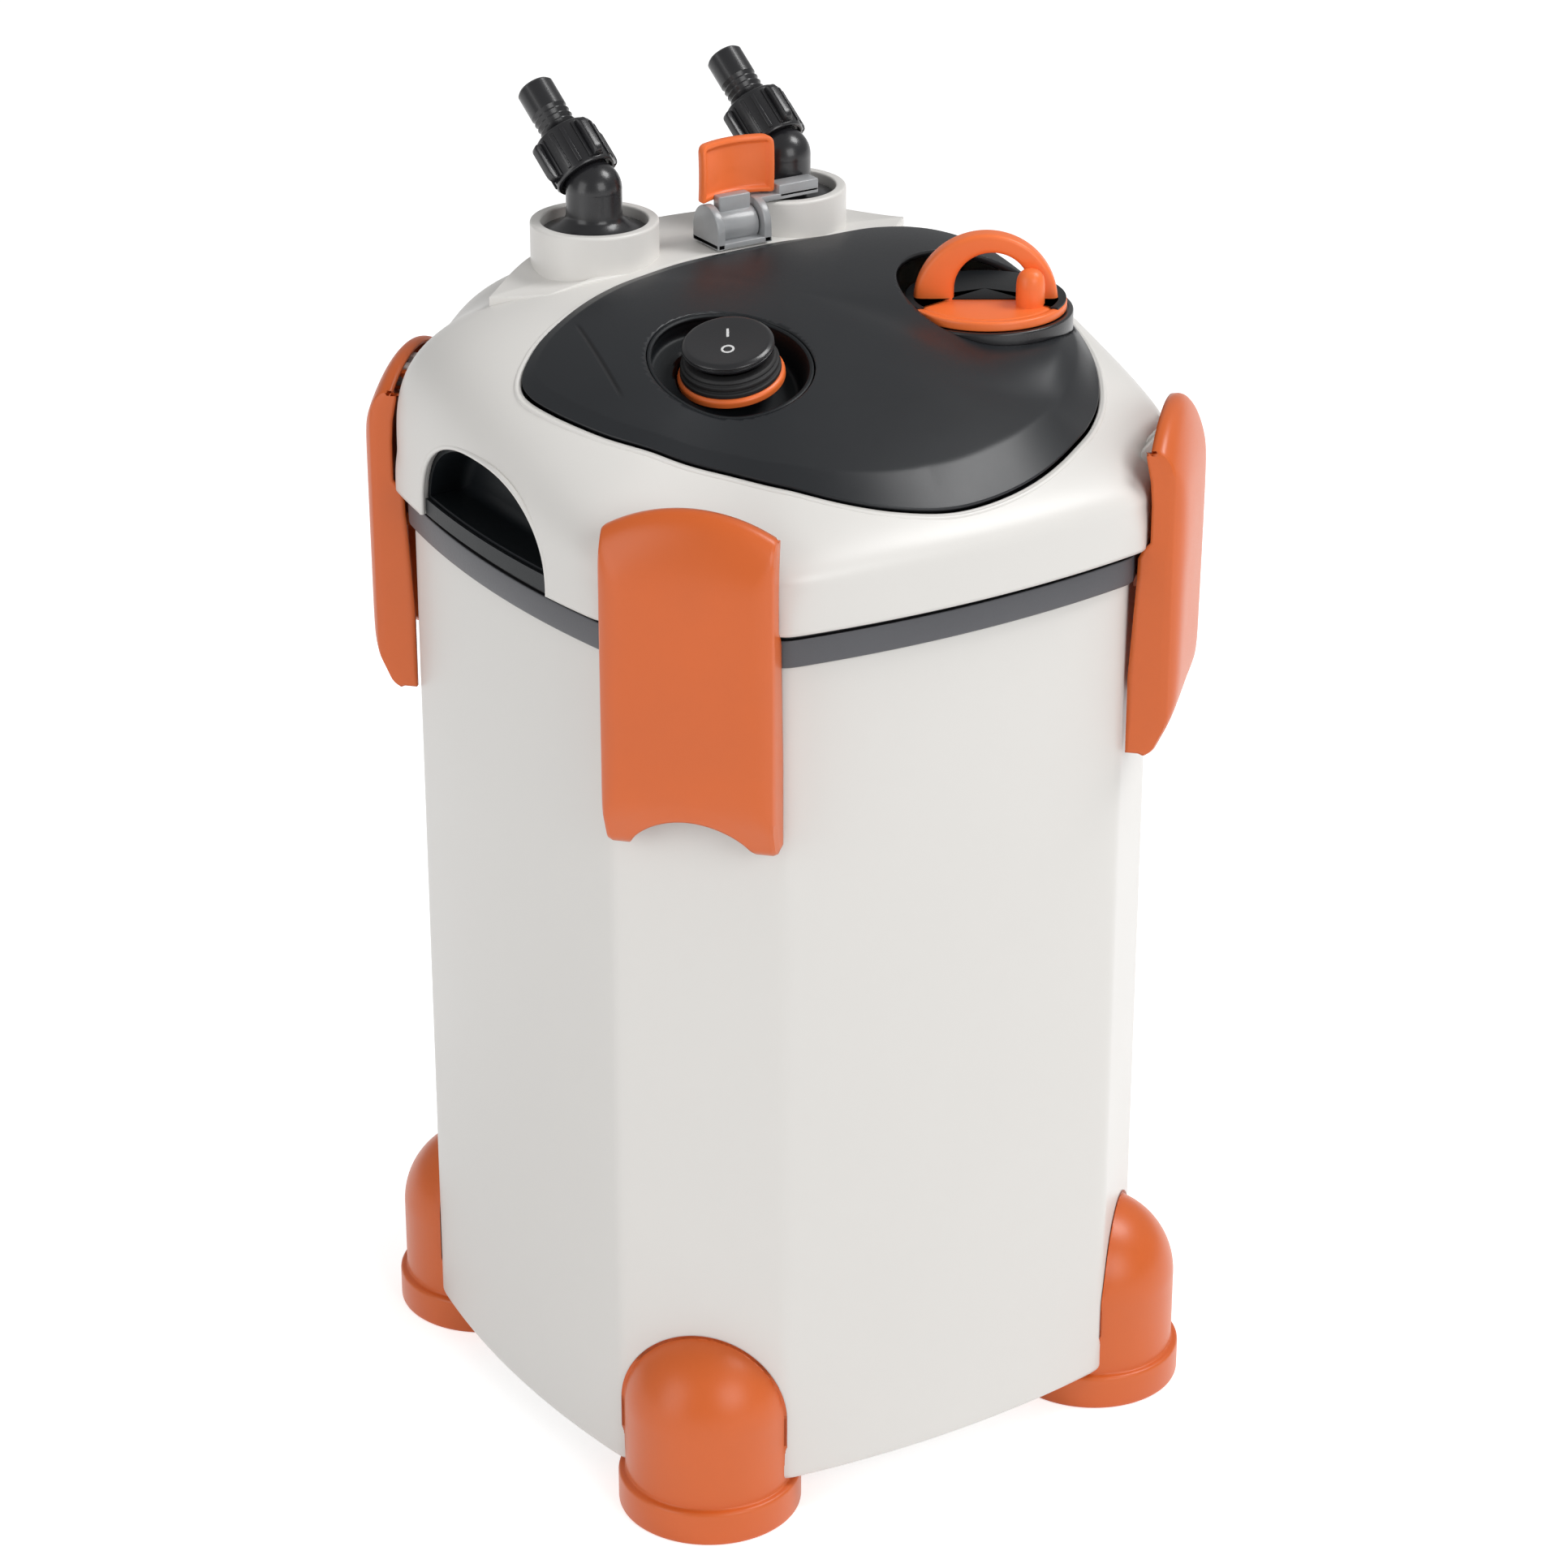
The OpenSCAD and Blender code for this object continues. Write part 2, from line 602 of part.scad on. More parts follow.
riser_r = 12.5;
riser_wall = 1.8;
z_riser_top = z_base - 2;
module riser_tube() {
    color(DARK) translate([well_x, well_y, 0]) difference() {
        translate([0, 0, z_floor]) cylinder(r = riser_r, h = z_riser_top - z_floor, $fn = 72);
        translate([0, 0, z_floor - 1]) cylinder(r = riser_r - riser_wall, h = z_riser_top, $fn = 72);
        for (a = [0, 90]) rotate(a) translate([-20, -4, z_floor - eps]) cube([40, 8, 12]);
    }
}

basket_pitch = basket_h + seat_gap;
basket_off = canister_wall + basket_gap;
basket_floor_t = 2.5;
basket_foot_h = 3;
sleeve_r = riser_r + 1.5;
slot_count = 9;
module basket(i) {
    z0 = z_floor + seat_gap + i*basket_pitch;
    color(DARK) difference() {
        union() {
            plan_ring(-basket_off, -basket_off - basket_wall, z0, z0 + basket_h);
            translate([0, 0, z0 + basket_foot_h]) linear_extrude(basket_floor_t)
                plan(-basket_off - basket_wall + 0.1);
            translate([well_x, well_y, z0 + basket_foot_h])
                cylinder(r = sleeve_r + 1.6, h = basket_h - basket_foot_h - 1, $fn = 72);
        }
        translate([well_x, well_y, z0 - 1]) cylinder(r = sleeve_r, h = basket_h + 2, $fn = 72);
        for (j = [0:slot_count - 1]) let (y = (j - (slot_count - 1)/2)*20)
            for (s = [-1, 1]) if (!(s > 0 && abs(y - well_y) < 22))
                translate([s > 0 ? 6 : -80, y - 5, z0]) cube([74, 10, 10]);
        for (s = [-1, 1]) translate([-20, s > 0 ? face_half - 14 : -face_half - 6, z0 + basket_h - 20])
            cube([40, 20, 12]);
    }
}

media_gap = 0.4;
module media(i, tint) {
    z0 = z_floor + seat_gap + i*basket_pitch + basket_foot_h + basket_floor_t;
    color(tint) translate([0, 0, z0]) difference() {
        linear_extrude(basket_h - basket_foot_h - basket_floor_t - 3)
            plan(-basket_off - basket_wall - media_gap);
        translate([well_x, well_y, -1]) cylinder(r = sleeve_r + 1.6 + media_gap, h = basket_h, $fn = 72);
    }
}

// ---- corner clips ----
clip_d = chamfer_d + 20;
clip_top = z_rim + 41;
clip_bottom = z_band - 65;
clip_side_d = chamfer_d + 2.9;
clip_lip_d = chamfer_d + 6.2;
function clip_outline(inset) = [
    [clip_lip_d + inset, clip_top - 0.6 - inset], [chamfer_d + 8.6, clip_top - inset],
    [chamfer_d + 12 - inset*0.3, clip_top - 2.6 - inset],
    [chamfer_d + 15.2 - inset*0.7, z_rim + 32 - inset*0.7],
    [clip_d - 1.9 - inset, z_rim + 23.5], [clip_d - 0.2 - inset, z_rim + 14],
    [clip_d - 0.2 - inset, z_rim + 3], [clip_d - 2.2 - inset, z_band - 42],
    [clip_d - 4.2 - inset, z_band - 50], [clip_d - 11.2 - inset, clip_bottom + 2],
    [clip_d - 13.6 - inset, clip_bottom],
    [clip_side_d, clip_bottom], [clip_side_d, z_band - 7], [chamfer_d + 8.6, z_band + 1],
    [chamfer_d + 10.4, z_rim + 6], [chamfer_d + 9.2, z_rim + 16],
    [clip_lip_d, z_rim + 25]];
// plan of the clip: flat front with rounded shoulders
function clip_front(t, inset) = clip_d - inset - 9.5*pow(abs(t)/clip_half_w, 5)
    - 1.6*pow(t/clip_half_w, 2);
module clip_plan(inset) {
    w = clip_half_w - inset;
    polygon(concat([[chamfer_d - 6, -w]],
        [for (i = [-12:12]) [clip_front(i/12*clip_half_w, inset), i/12*w]], [[chamfer_d - 6, w]]));
}
hook_h = 5;
hook_half_w = 20;
arch_r = 54;
notch_r = 25;
notch_top = 14;
knuckle_t = 11.5;
knuckle_w = 4;
module clip_form() {
    intersection() {
        across(2*clip_half_w) polygon(clip_outline(0));
        linear_extrude(clip_top + 20) clip_plan(0);
    }
}
// everything under the arched top edge
module under_arch(lower) {
    translate([0, 0, clip_top - lower - arch_r]) rotate([0, 90, 0])
        cylinder(r = arch_r, h = 300, $fn = 144);
    translate([0, -100, 0]) cube([300, 200, clip_top - lower - arch_r + 5]);
}
module clip(k) {
    color(ORANGE) at_corner(k) difference() {
        union() {
            difference() {
                intersection() {
                    clip_form();
                    under_arch(0);
                }
                // hollow back
                intersection() {
                    translate([0, 0, clip_bottom - 1]) linear_extrude(clip_top - clip_bottom + 2)
                        clip_plan(clip_wall);
                    under_arch(clip_wall);
                    across(2*(clip_half_w - clip_wall)) polygon(concat(
                        [[chamfer_d - 8, clip_bottom - 1]],
                        [[clip_d - 13.6 - clip_wall, clip_bottom - 1]],
                        [for (i = [9:-1:1]) clip_outline(clip_wall)[i]],
                        [[chamfer_d - 8, clip_top - clip_wall]]));
                }
            }
            // two knuckles under the roof carry the pin
            for (s = [-1, 1]) translate([0, s*knuckle_t, 0]) intersection() {
                across(knuckle_w) polygon([[pin_d - 2.8, z_pin - 3.4], [pin_d + 3.4, z_pin - 3.4],
                    [chamfer_d + 17, z_rim + 27], [chamfer_d + 14.5, z_rim + 34.5],
                    [chamfer_d + 9, clip_top - 1.5], [pin_d - 2.8, clip_top - 1.5]]);
                clip_form();
            }
            intersection() {
                translate([chamfer_d + 0.8, -hook_half_w, z_band - seat_gap - hook_h])
                    cube([30, 2*hook_half_w, hook_h]);
                linear_extrude(clip_top) clip_plan(clip_wall - 1);
            }
        }
        // finger notch
        translate([0, 0, clip_bottom + notch_top - notch_r]) rotate([0, 90, 0])
            cylinder(r = notch_r, h = 300, $fn = 96);
        translate([pin_d, 0, z_pin]) rotate([90, 0, 0]) {
            cylinder(r = clip_pin_r + run_gap, h = 3*knuckle_t, center = true, $fn = 48);
            cylinder(r = ear_r + seat_gap, h = 2*ear_t + ear_w + 0.8, center = true, $fn = 48);
        }
    }
}

module clip_pins() {
    color(GREY) for (k = [0:3]) at_corner(k) translate([pin_d, 0, z_pin]) rotate([90, 0, 0])
        cylinder(r = clip_pin_r, h = 2*knuckle_t + knuckle_w, center = true, $fn = 48);
}

// ---- cable gland ----
module cable_gland() {
    color(BLACK) at_gland() difference() {
        union() {
            translate([0, 0, 0.3]) cylinder(r = gland_r + 1.6, h = 2, $fn = 64);
            translate([0, 0, 1]) cylinder(r = gland_r - 1.5, h = 2.6, $fn = 48);
            translate([0, 0, -9]) cylinder(r = gland_r, h = 10, $fn = 48);
        }
        translate([0, 0, -10]) cylinder(r = gland_bore_r, h = 20, $fn = 48);
    }
}

// ---- switch ----
z_switch = z_rim + switch_z;
module at_switch() translate([switch_x, switch_y, z_switch])
    rotate([0, 0, switch_yaw]) rotate([switch_tilt, 0, 0]) children();
bowl_x = switch_x - 2.8;
bowl_y = switch_y - 0.7;
module at_bowl() translate([bowl_x, bowl_y, z_switch]) rotate([bowl_tilt, 0, 0]) children();
seal_r = 18.2;
boot_h = 9.2;
bowl_wall = 1.8;
rocker_axis_z = 4;
axle_r = 1.8;
module switch_housing() {
    color(BLACK) difference() {
        union() {
            difference() {
                at_bowl() difference() {
                    translate([0, 0, -4]) cylinder(r = bowl_r - 0.4, h = 30, $fn = 96);
                    translate([0, 0, -2.2]) cylinder(r = bowl_r - 0.4 - bowl_wall, h = 40, $fn = 96);
                }
                // pocket for the seal
                at_switch() cylinder(r = seal_r + 0.2, h = 30, $fn = 96);
            }
            at_switch() translate([0, 0, -22]) cylinder(r = 10.5, h = 22, $fn = 64);
            intersection() {
                at_switch() translate([0, 0, -6]) cylinder(r = seal_r - 0.4, h = 6, $fn = 80);
                at_bowl() translate([0, 0, -4]) cylinder(r = bowl_r - 1, h = 12, $fn = 96);
            }
            // two ears carry the rocker's axle
            at_switch() for (s = [-1, 1]) translate([s*9.8 - 1, -3.2, -1]) cube([2, 6.4, 8]);
        }
        at_switch() translate([0, 0, rocker_axis_z]) rotate([0, 90, 0])
            cylinder(r = axle_r + run_gap, h = 30, center = true, $fn = 48);
        // the rim follows the cover
        translate([0, 0, 0]) at_rim() translate([-60, -60, 0]) cube([120, 120, 40]);
        at_switch() for (s = [-1, 1]) translate([s*4 - 0.4, -3, -23]) cube([0.8, 6, 6]);
    }
}
module at_rim() translate([bowl_x, bowl_y - 4, z_rim + 64.5]) rotate([26, 0, 0]) children();

module switch_seal() {
    color(BRIGHT) at_switch() rotate_extrude($fn = 96)
        polygon([[11.6, 0], [seal_r, 0], [seal_r, 2.2], [seal_r - 0.8, 3], [11.6, 3]]);
}

// stepped rubber boot around the rocker
module switch_boot() {
    color(RUBBER) at_switch() rotate_extrude($fn = 96)
        polygon([[12.6, 3], [rocker_r + 1.6, 3], [rocker_r + 1.6, 5], [rocker_r + 0.9, 5.8],
            [rocker_r + 0.9, boot_h - 1.4], [rocker_r - 0.2, boot_h], [12.6, boot_h]]);
}

// the rocker turns about an axis across the switch, below its cap
rocker_z = boot_h + 2.4;
rocker_h = 3.4;
module rocker() {
    color(BLACK) at_switch() {
        translate([0, 0, rocker_z]) rotate_extrude($fn = 96)
            polygon([[0, 0], [rocker_r - 0.6, 0], [rocker_r, 0.6], [rocker_r, rocker_h - 1.4],
                [rocker_r - 1, rocker_h - 0.3], [rocker_r - 2, rocker_h], [0, rocker_h]]);
        translate([0, 0, rocker_axis_z]) rotate([0, 90, 0])
            cylinder(r = axle_r, h = 20.8, center = true, $fn = 48);
        translate([-8.4, -5, rocker_axis_z]) cube([16.8, 10, rocker_z - rocker_axis_z + 0.5]);
    }
}

// ---- pre-filter ----
z_seat = z_rim + well_z;
well_wall = 2;
z_well = z_plate;
cap_r = well_r - 0.4;
module at_well(z = 0) translate([well_x, well_y, z]) children();
module prefilter_well() {
    color(BLACK) at_well() difference() {
        union() {
            translate([0, 0, z_well]) cylinder(r = well_r + well_wall, h = z_seat - z_well, $fn = 96);
            translate([0, 0, z_seat - 9]) cylinder(r = well_r + 5.5, h = 10, $fn = 96);
        }
        translate([0, 0, z_well + 2]) cylinder(r = well_r, h = 100, $fn = 96);
        translate([0, 0, z_seat - 1.4]) cylinder(r = well_r + 3.8, h = 10, $fn = 96);
        translate([0, 0, z_well - 1]) cylinder(r = riser_r - riser_wall, h = 10, $fn = 72);
        translate([0, 0, inlet_z]) rotate([0, 90, inlet_yaw + 180]) cylinder(r = inlet_duct_r, h = 60, $fn = 48);
    }
}

knuckle_r = 5;
cap_t = 3.2;
arch_w = 8;
arch_plate_t = 8;
module prefilter_cap() {
    color(BRIGHT) at_well(z_seat) {
        difference() {
            union() {
                translate([0, 0, -0.9]) cylinder(r = well_r + 3.2, h = cap_t, $fn = 96);
                translate([0, 0, -12]) cylinder(r = cap_r, h = 12, $fn = 96);
            }
            translate([0, 0, -7]) difference() {
                cylinder(r = cap_r + 1, h = 3, $fn = 96);
                translate([0, 0, -1]) cylinder(r = cap_r - 2.2, h = 5, $fn = 96);
            }
            translate([0, 0, -13]) cylinder(r = cap_r - 3, h = 11, $fn = 96);
        }
        rotate(arch_yaw) {
            translate([0, 0, cap_t - 1.9]) across(arch_plate_t) intersection() {
                difference() {
                    translate([0, -0.6]) circle(r = arch_h, $fn = 120);
                    translate([2, 4.6]) circle(r = 13, $fn = 96);
                    translate([-11, -1]) square([26, 5.6]);
                }
                translate([-60, 0]) square([120, 60]);
            }
            translate([15, -8, cap_t - 1.5]) cylinder(r = knuckle_r, h = 8, $fn = 48);
            translate([15, -8, cap_t + 6.5]) sphere(r = knuckle_r + 0.3, $fn = 48);
        }
    }
}

module cap_seal() {
    color(RUBBER) at_well(z_seat - 5.5) rotate_extrude($fn = 96)
        translate([cap_r - 0.95, 0]) circle(r = 1.2, $fn = 24);
}

cage_r = well_r - 1.2;
z_cage0 = z_well + 2 + seat_gap;
z_cage1 = z_seat - 13;
module prefilter_cage() {
    color(DARK) at_well() {
        translate([0, 0, z_cage0]) difference() {
            cylinder(r = cage_r, h = 2, $fn = 80);
            translate([0, 0, -1]) cylinder(r = 8, h = 4, $fn = 48);
        }
        translate([0, 0, z_cage1 - 2]) cylinder(r = cage_r, h = 2, $fn = 80);
        for (a = [0:30:330]) rotate(a) translate([cage_r - 2.4, -1.2, z_cage0 + 1])
            cube([2.2, 2.4, z_cage1 - z_cage0 - 2]);
    }
}

module prefilter_sponge() {
    color([0.2, 0.35, 0.55]) at_well(z_cage0 + 2) difference() {
        cylinder(r = cage_r - 2.8, h = z_cage1 - z_cage0 - 4, $fn = 80);
        translate([0, 0, -1]) cylinder(r = 9, h = 60, $fn = 48);
    }
}

// ---- valve pipes ----
pipe_r = 14;
pipe_bore_r = 11;
z_pipe_top = z_deck - 9 - seat_gap;
valve_z = z_rim + 45;
valve_rod_r = 2;
inlet_duct_r = 7;
inlet_z = z_plate + 12;
inlet_vec = [well_x - collar_x, well_y - collar_y];
inlet_yaw = atan2(inlet_vec[1], inlet_vec[0]);
module valve_pipe(x) {
    translate([x, collar_y, z_plate]) cylinder(r = pipe_r, h = z_pipe_top - z_plate, $fn = 72);
}
module valve_bores(x) {
    translate([x, collar_y, z_plate + 2]) cylinder(r = pipe_bore_r, h = 100, $fn = 72);
    translate([x, collar_y, valve_z]) rotate([0, 90, 0])
        cylinder(r = valve_rod_r + run_gap, h = 40, center = true, $fn = 48);
}
module inlet_pipe() {
    color(GREY) difference() {
        union() {
            valve_pipe(collar_x);
            translate([collar_x, collar_y, inlet_z]) rotate([0, 90, inlet_yaw])
                cylinder(r = inlet_duct_r + 2, h = norm(inlet_vec), $fn = 48);
        }
        valve_bores(collar_x);
        translate([collar_x, collar_y, inlet_z]) rotate([0, 90, inlet_yaw])
            cylinder(r = inlet_duct_r, h = norm(inlet_vec), $fn = 48);
        at_well(z_plate - 1) cylinder(r = well_r + well_wall + seat_gap, h = 100, $fn = 96);
    }
}
module outlet_pipe() {
    color(GREY) difference() {
        valve_pipe(-collar_x);
        valve_bores(-collar_x);
        translate([-collar_x, collar_y, z_plate - 1]) cylinder(r = duct_r, h = 10, $fn = 48);
    }
}
module valve_rod() {
    color(GREY) translate([0, collar_y, valve_z]) rotate([0, 90, 0])
        cylinder(r = valve_rod_r, h = 2*(collar_x + pipe_r + 4), center = true, $fn = 48);
}
module valve_disc(x) {
    color(ORANGE) translate([x, collar_y, valve_z]) difference() {
        union() {
            rotate([90, 0, 0]) cylinder(r = pipe_bore_r - 0.5, h = 2, center = true, $fn = 72);
            rotate([0, 90, 0]) cylinder(r = 3.6, h = 16, center = true, $fn = 48);
        }
        rotate([0, 90, 0]) cylinder(r = valve_rod_r + 0.02, h = 40, center = true, $fn = 48);
    }
}

// ---- lever between the collars ----
lever_x = 8;
lever_y = collar_y - 15.5;
z_lever = z_collar - 5.5;
cheek_gap = 16;
cheek_t = 3;
cheek_r = 8.5;
lever_pin_r = 2;
z_bracket = crown_top - 1;
module lever_bracket() {
    color([0.75, 0.76, 0.77]) difference() {
        translate([lever_x, lever_y, 0]) union() {
            intersection() {
                for (s = [-1, 1]) translate([s*(cheek_gap/2 + cheek_t/2), 0, 0]) {
                    translate([0, 0, z_lever]) rotate([0, 90, 0])
                        cylinder(r = cheek_r, h = cheek_t, center = true, $fn = 72);
                    translate([-cheek_t/2, -cheek_r, z_bracket])
                        cube([cheek_t, 2*cheek_r, z_lever - z_bracket]);
                }
                translate([-50, -50, z_bracket]) cube([100, 100, 60]);
            }
            translate([-cheek_gap/2 - cheek_t, -cheek_r, z_bracket])
                cube([cheek_gap + 2*cheek_t, 2*cheek_r, 2]);
            // brace that holds the right-hand connector down
            translate([cheek_gap/2 + cheek_t - 2.5, -2, z_collar + 0.8]) cube([26, 7, 2.1]);
            translate([cheek_gap/2 + cheek_t + 7, -2, z_collar + 0.8]) cube([16.5, 7, 5.2]);
        }
        translate([lever_x, lever_y, z_lever]) rotate([0, 90, 0]) {
            cylinder(r = lever_pin_r + 0.02, h = 80, center = true, $fn = 48);
            cylinder(r = 6.4, h = cheek_gap - 0.4, center = true, $fn = 64);
        }
        translate([collar_x, collar_y, z_bracket - 10])
            cylinder(r = collar_r + seat_gap, h = z_collar + 0.5 - z_bracket + 10, $fn = 96);
    }
}
module lever_pin() {
    color(GREY) translate([lever_x, lever_y, z_lever]) rotate([0, 90, 0])
        cylinder(r = lever_pin_r, h = cheek_gap + 2*cheek_t - 0.6, center = true, $fn = 48);
}
paddle_w = 25;
paddle_h = 20.5;
paddle_x = 4.5;
paddle_z = 9;
module lever() {
    color(BRIGHT) translate([lever_x, lever_y, z_lever]) difference() {
        union() {
            rotate([0, 90, 0]) cylinder(r = 6, h = cheek_gap - 1, center = true, $fn = 64);
            translate([-cheek_gap/2 + 1.5, -2, 3]) cube([cheek_gap - 3, 4.5, 9]);
            // curved thumb plate
            translate([paddle_x, -26 + 3, paddle_z]) intersection() {
                difference() {
                    cylinder(r = 30, h = paddle_h, $fn = 120);
                    translate([0, 0, -1]) cylinder(r = 26.5, h = paddle_h + 2, $fn = 120);
                }
                translate([-paddle_w/2, 0, 0]) cube([paddle_w, 60, paddle_h]);
            }
        }
        rotate([0, 90, 0]) cylinder(r = lever_pin_r + run_gap, h = 80, center = true, $fn = 48);
    }
}

// ---- hose connectors ----
z_flange = z_shelf + seat_gap;
barrel_r = 9.8;
z_bend = z_collar + 11;
elbow_r = 8.2;
stub_len = 5;
nut_len = 18;
nut_r = 11;
nut_gap = 0.06;
module at_outlet(x) translate([x, collar_y, z_bend]) rotate([0, 0, elbow_yaw])
    rotate([-elbow_lean, 0, 0]) children();
module elbow(x) {
    color(BLACK) difference() {
        union() {
            translate([x, collar_y, 0]) rotate_extrude($fn = 96)
                polygon([[0, z_flange], [collar_bore_r - 0.4, z_flange],
                    [collar_bore_r - 0.4, z_flange + 2.6], [barrel_r + 3, z_flange + 4.6],
                    [barrel_r, z_flange + 7], [barrel_r, z_bend], [0, z_bend]]);
            translate([x, collar_y, z_flange - 20]) cylinder(r = shelf_bore_r - 0.5, h = 20 + eps, $fn = 72);
            translate([x, collar_y, z_bend]) sphere(r = barrel_r, $fn = 96);
            at_outlet(x) cylinder(r = elbow_r, h = stub_len + nut_len/2, $fn = 72);
        }
        translate([x, collar_y, z_flange - 21]) cylinder(r = elbow_bore_r, h = z_bend - z_flange + 21, $fn = 64);
        translate([x, collar_y, z_bend]) sphere(r = elbow_bore_r, $fn = 64);
        at_outlet(x) cylinder(r = elbow_bore_r, h = 40, $fn = 64);
        translate([x, collar_y, z_flange - 9]) difference() {
            cylinder(r = shelf_bore_r + 1, h = 2.4, $fn = 72);
            translate([0, 0, -1]) cylinder(r = shelf_bore_r - 2.4, h = 5, $fn = 72);
        }
    }
}
elbow_bore_r = 6;
module elbow_seals(x) {
    color(RUBBER) translate([x, collar_y, z_flange - 7.8]) rotate_extrude($fn = 72)
        translate([shelf_bore_r - 1.2, 0]) circle(r = 1.05, $fn = 20);
}
module nut(x) {
    color(BLACK) at_outlet(x) translate([0, 0, stub_len]) difference() {
        union() {
            cylinder(r = nut_r, h = nut_len, $fn = 96);
            for (a = [0:90:270]) rotate(a) translate([0, -1.6, 0]) cube([nut_r + 3.4, 3.2, nut_len - 2]);
            for (a = [0:22.5:337.5]) rotate(a + 11.25) translate([nut_r - 0.6, -0.7, 1])
                cube([1.2, 1.4, nut_len - 2.6]);
        }
        translate([0, 0, -1]) cylinder(r = elbow_r + 1.4, h = 2.2, $fn = 72);
        translate([0, 0, -1]) cylinder(r = elbow_r + nut_gap, h = nut_len - 1.5, $fn = 72);
        cylinder(r = tail_r + 0.2, h = nut_len + 1, $fn = 72);
    }
}
tail_plain = 11;
tail_ribs = 4;
module tail(x) {
    z1 = nut_len/2 + 0.1;
    z2 = nut_len - 2.6;
    z3 = nut_len + tail_len;
    rib = (z3 - tail_plain - nut_len - 1)/tail_ribs;
    color(BLACK) at_outlet(x) translate([0, 0, stub_len]) rotate_extrude($fn = 72)
        polygon(concat([[tail_bore_r, z1], [elbow_r, z1], [elbow_r, z2 - 0.2], [tail_r, z2 - 0.2]],
            [for (i = [0:tail_ribs - 1]) let (z = nut_len + 1 + i*rib)
                each [[tail_r, z], [tail_r - 0.9, z + 0.1], [tail_r - 0.9, z + rib*0.35]]],
            [[tail_r, z3 - tail_plain], [tail_r, z3], [tail_bore_r, z3]]));
}

canister_shell();
foot(2);  // foot_front_left
foot(3);  // foot_front_right
foot(1);  // foot_back_left
foot(0);  // foot_back_right
rim_band();
body_gasket();
riser_tube();
basket(0);  // basket_lower
basket(1);  // basket_middle
basket(2);  // basket_upper
media(0, [0.8, 0.76, 0.68]);  // media_lower
media(1, [0.86, 0.84, 0.8]);  // media_middle
media(2, [0.2, 0.35, 0.55]);  // media_upper
head_shell();
head_base();
base_screws();
top_cover();
grip_cup(-1);  // grip_left
grip_cup(1);  // grip_right
cable_gland();
clip_pins();
clip(2);  // clip_front_left
clip(3);  // clip_front_right
clip(1);  // clip_back_left
clip(0);  // clip_back_right
switch_housing();
switch_seal();
switch_boot();
rocker();
prefilter_well();
prefilter_cap();
cap_seal();
prefilter_cage();
prefilter_sponge();
stator();
rotor_shaft();
shaft_bushes();
rotor_magnet();
impeller();
chamber_cover();
inlet_pipe();
outlet_pipe();
valve_rod();
valve_disc(collar_x);  // valve_disc_inlet
valve_disc(-collar_x);  // valve_disc_outlet
lever_bracket();
lever_pin();
lever();
elbow(collar_x);  // elbow_inlet
elbow(-collar_x);  // elbow_outlet
nut(collar_x);  // nut_inlet
nut(-collar_x);  // nut_outlet
tail(collar_x);  // tail_inlet
tail(-collar_x);  // tail_outlet
elbow_seals(collar_x);  // elbow_seals_inlet
elbow_seals(-collar_x);  // elbow_seals_outlet
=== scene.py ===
import bpy, math
import numpy as np
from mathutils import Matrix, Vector


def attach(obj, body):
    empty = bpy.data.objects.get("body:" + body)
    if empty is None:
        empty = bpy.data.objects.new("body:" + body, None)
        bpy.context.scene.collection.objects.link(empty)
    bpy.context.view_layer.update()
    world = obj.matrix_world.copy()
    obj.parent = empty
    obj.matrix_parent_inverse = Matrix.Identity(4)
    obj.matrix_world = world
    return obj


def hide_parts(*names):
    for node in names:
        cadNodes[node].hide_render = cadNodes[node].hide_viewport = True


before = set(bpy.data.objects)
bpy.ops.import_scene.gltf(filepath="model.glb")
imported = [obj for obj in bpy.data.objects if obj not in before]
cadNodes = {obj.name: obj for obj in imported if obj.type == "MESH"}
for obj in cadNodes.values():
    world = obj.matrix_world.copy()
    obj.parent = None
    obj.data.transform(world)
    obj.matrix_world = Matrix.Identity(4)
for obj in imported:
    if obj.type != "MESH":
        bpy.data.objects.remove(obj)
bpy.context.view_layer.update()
print("frame loaded:", len(cadNodes), "nodes")

# camera first
cameraPlace = {"at": (-0.7736, -1.2339, 0.8957), "to": (0.00014, 0.0, 0.22645), "lens": 102.48}
camera = bpy.data.objects.new("camera", bpy.data.cameras.new("camera"))
bpy.context.scene.collection.objects.link(camera)
camera.data.lens = cameraPlace["lens"]
camera.data.sensor_width = 36
camera.data.clip_start, camera.data.clip_end = 0.05, 50
camera.location = cameraPlace["at"]
lookAlong = Vector(cameraPlace["to"]) - Vector(cameraPlace["at"])
camera.rotation_mode = "QUATERNION"
camera.rotation_quaternion = lookAlong.to_track_quat("-Z", "Y")
bpy.context.scene.camera = camera
print("camera set")

# shape tools, all in millimetres
turn = 2*math.pi

def smoothStep(t):  # 3t^2 - 2t^3, held at 0 and 1
    t = np.clip(t, 0.0, 1.0)
    return t*t*(3 - 2*t)

def rotX(deg):
    c, s = math.cos(math.radians(deg)), math.sin(math.radians(deg))
    return np.array([[1, 0, 0], [0, c, -s], [0, s, c]])

def rotZ(deg):
    c, s = math.cos(math.radians(deg)), math.sin(math.radians(deg))
    return np.array([[c, -s, 0], [s, c, 0], [0, 0, 1]])

# plates are drawn in (x, y): these lay the drawing in (x, z), in (y, z), and turn the z axis along x
acrossAxes = np.array([[1, 0, 0], [0, 0, -1], [0, 1, 0.0]])
yzAxes = np.array([[0, 0, 1], [1, 0, 0], [0, 1, 0.0]])
alongX = np.array([[0, 0, 1], [0, 1, 0], [-1, 0, 0.0]])

def cornerAxes(k):  # x points outwards over corner k, counted from the back right
    return rotZ(45 + 90*k)

def placed(points, at, axes=None):  # local points turned by the 3x3 axes, then moved to at
    if axes is not None:
        points = points @ np.asarray(axes).T
    return points + np.asarray(at, float)

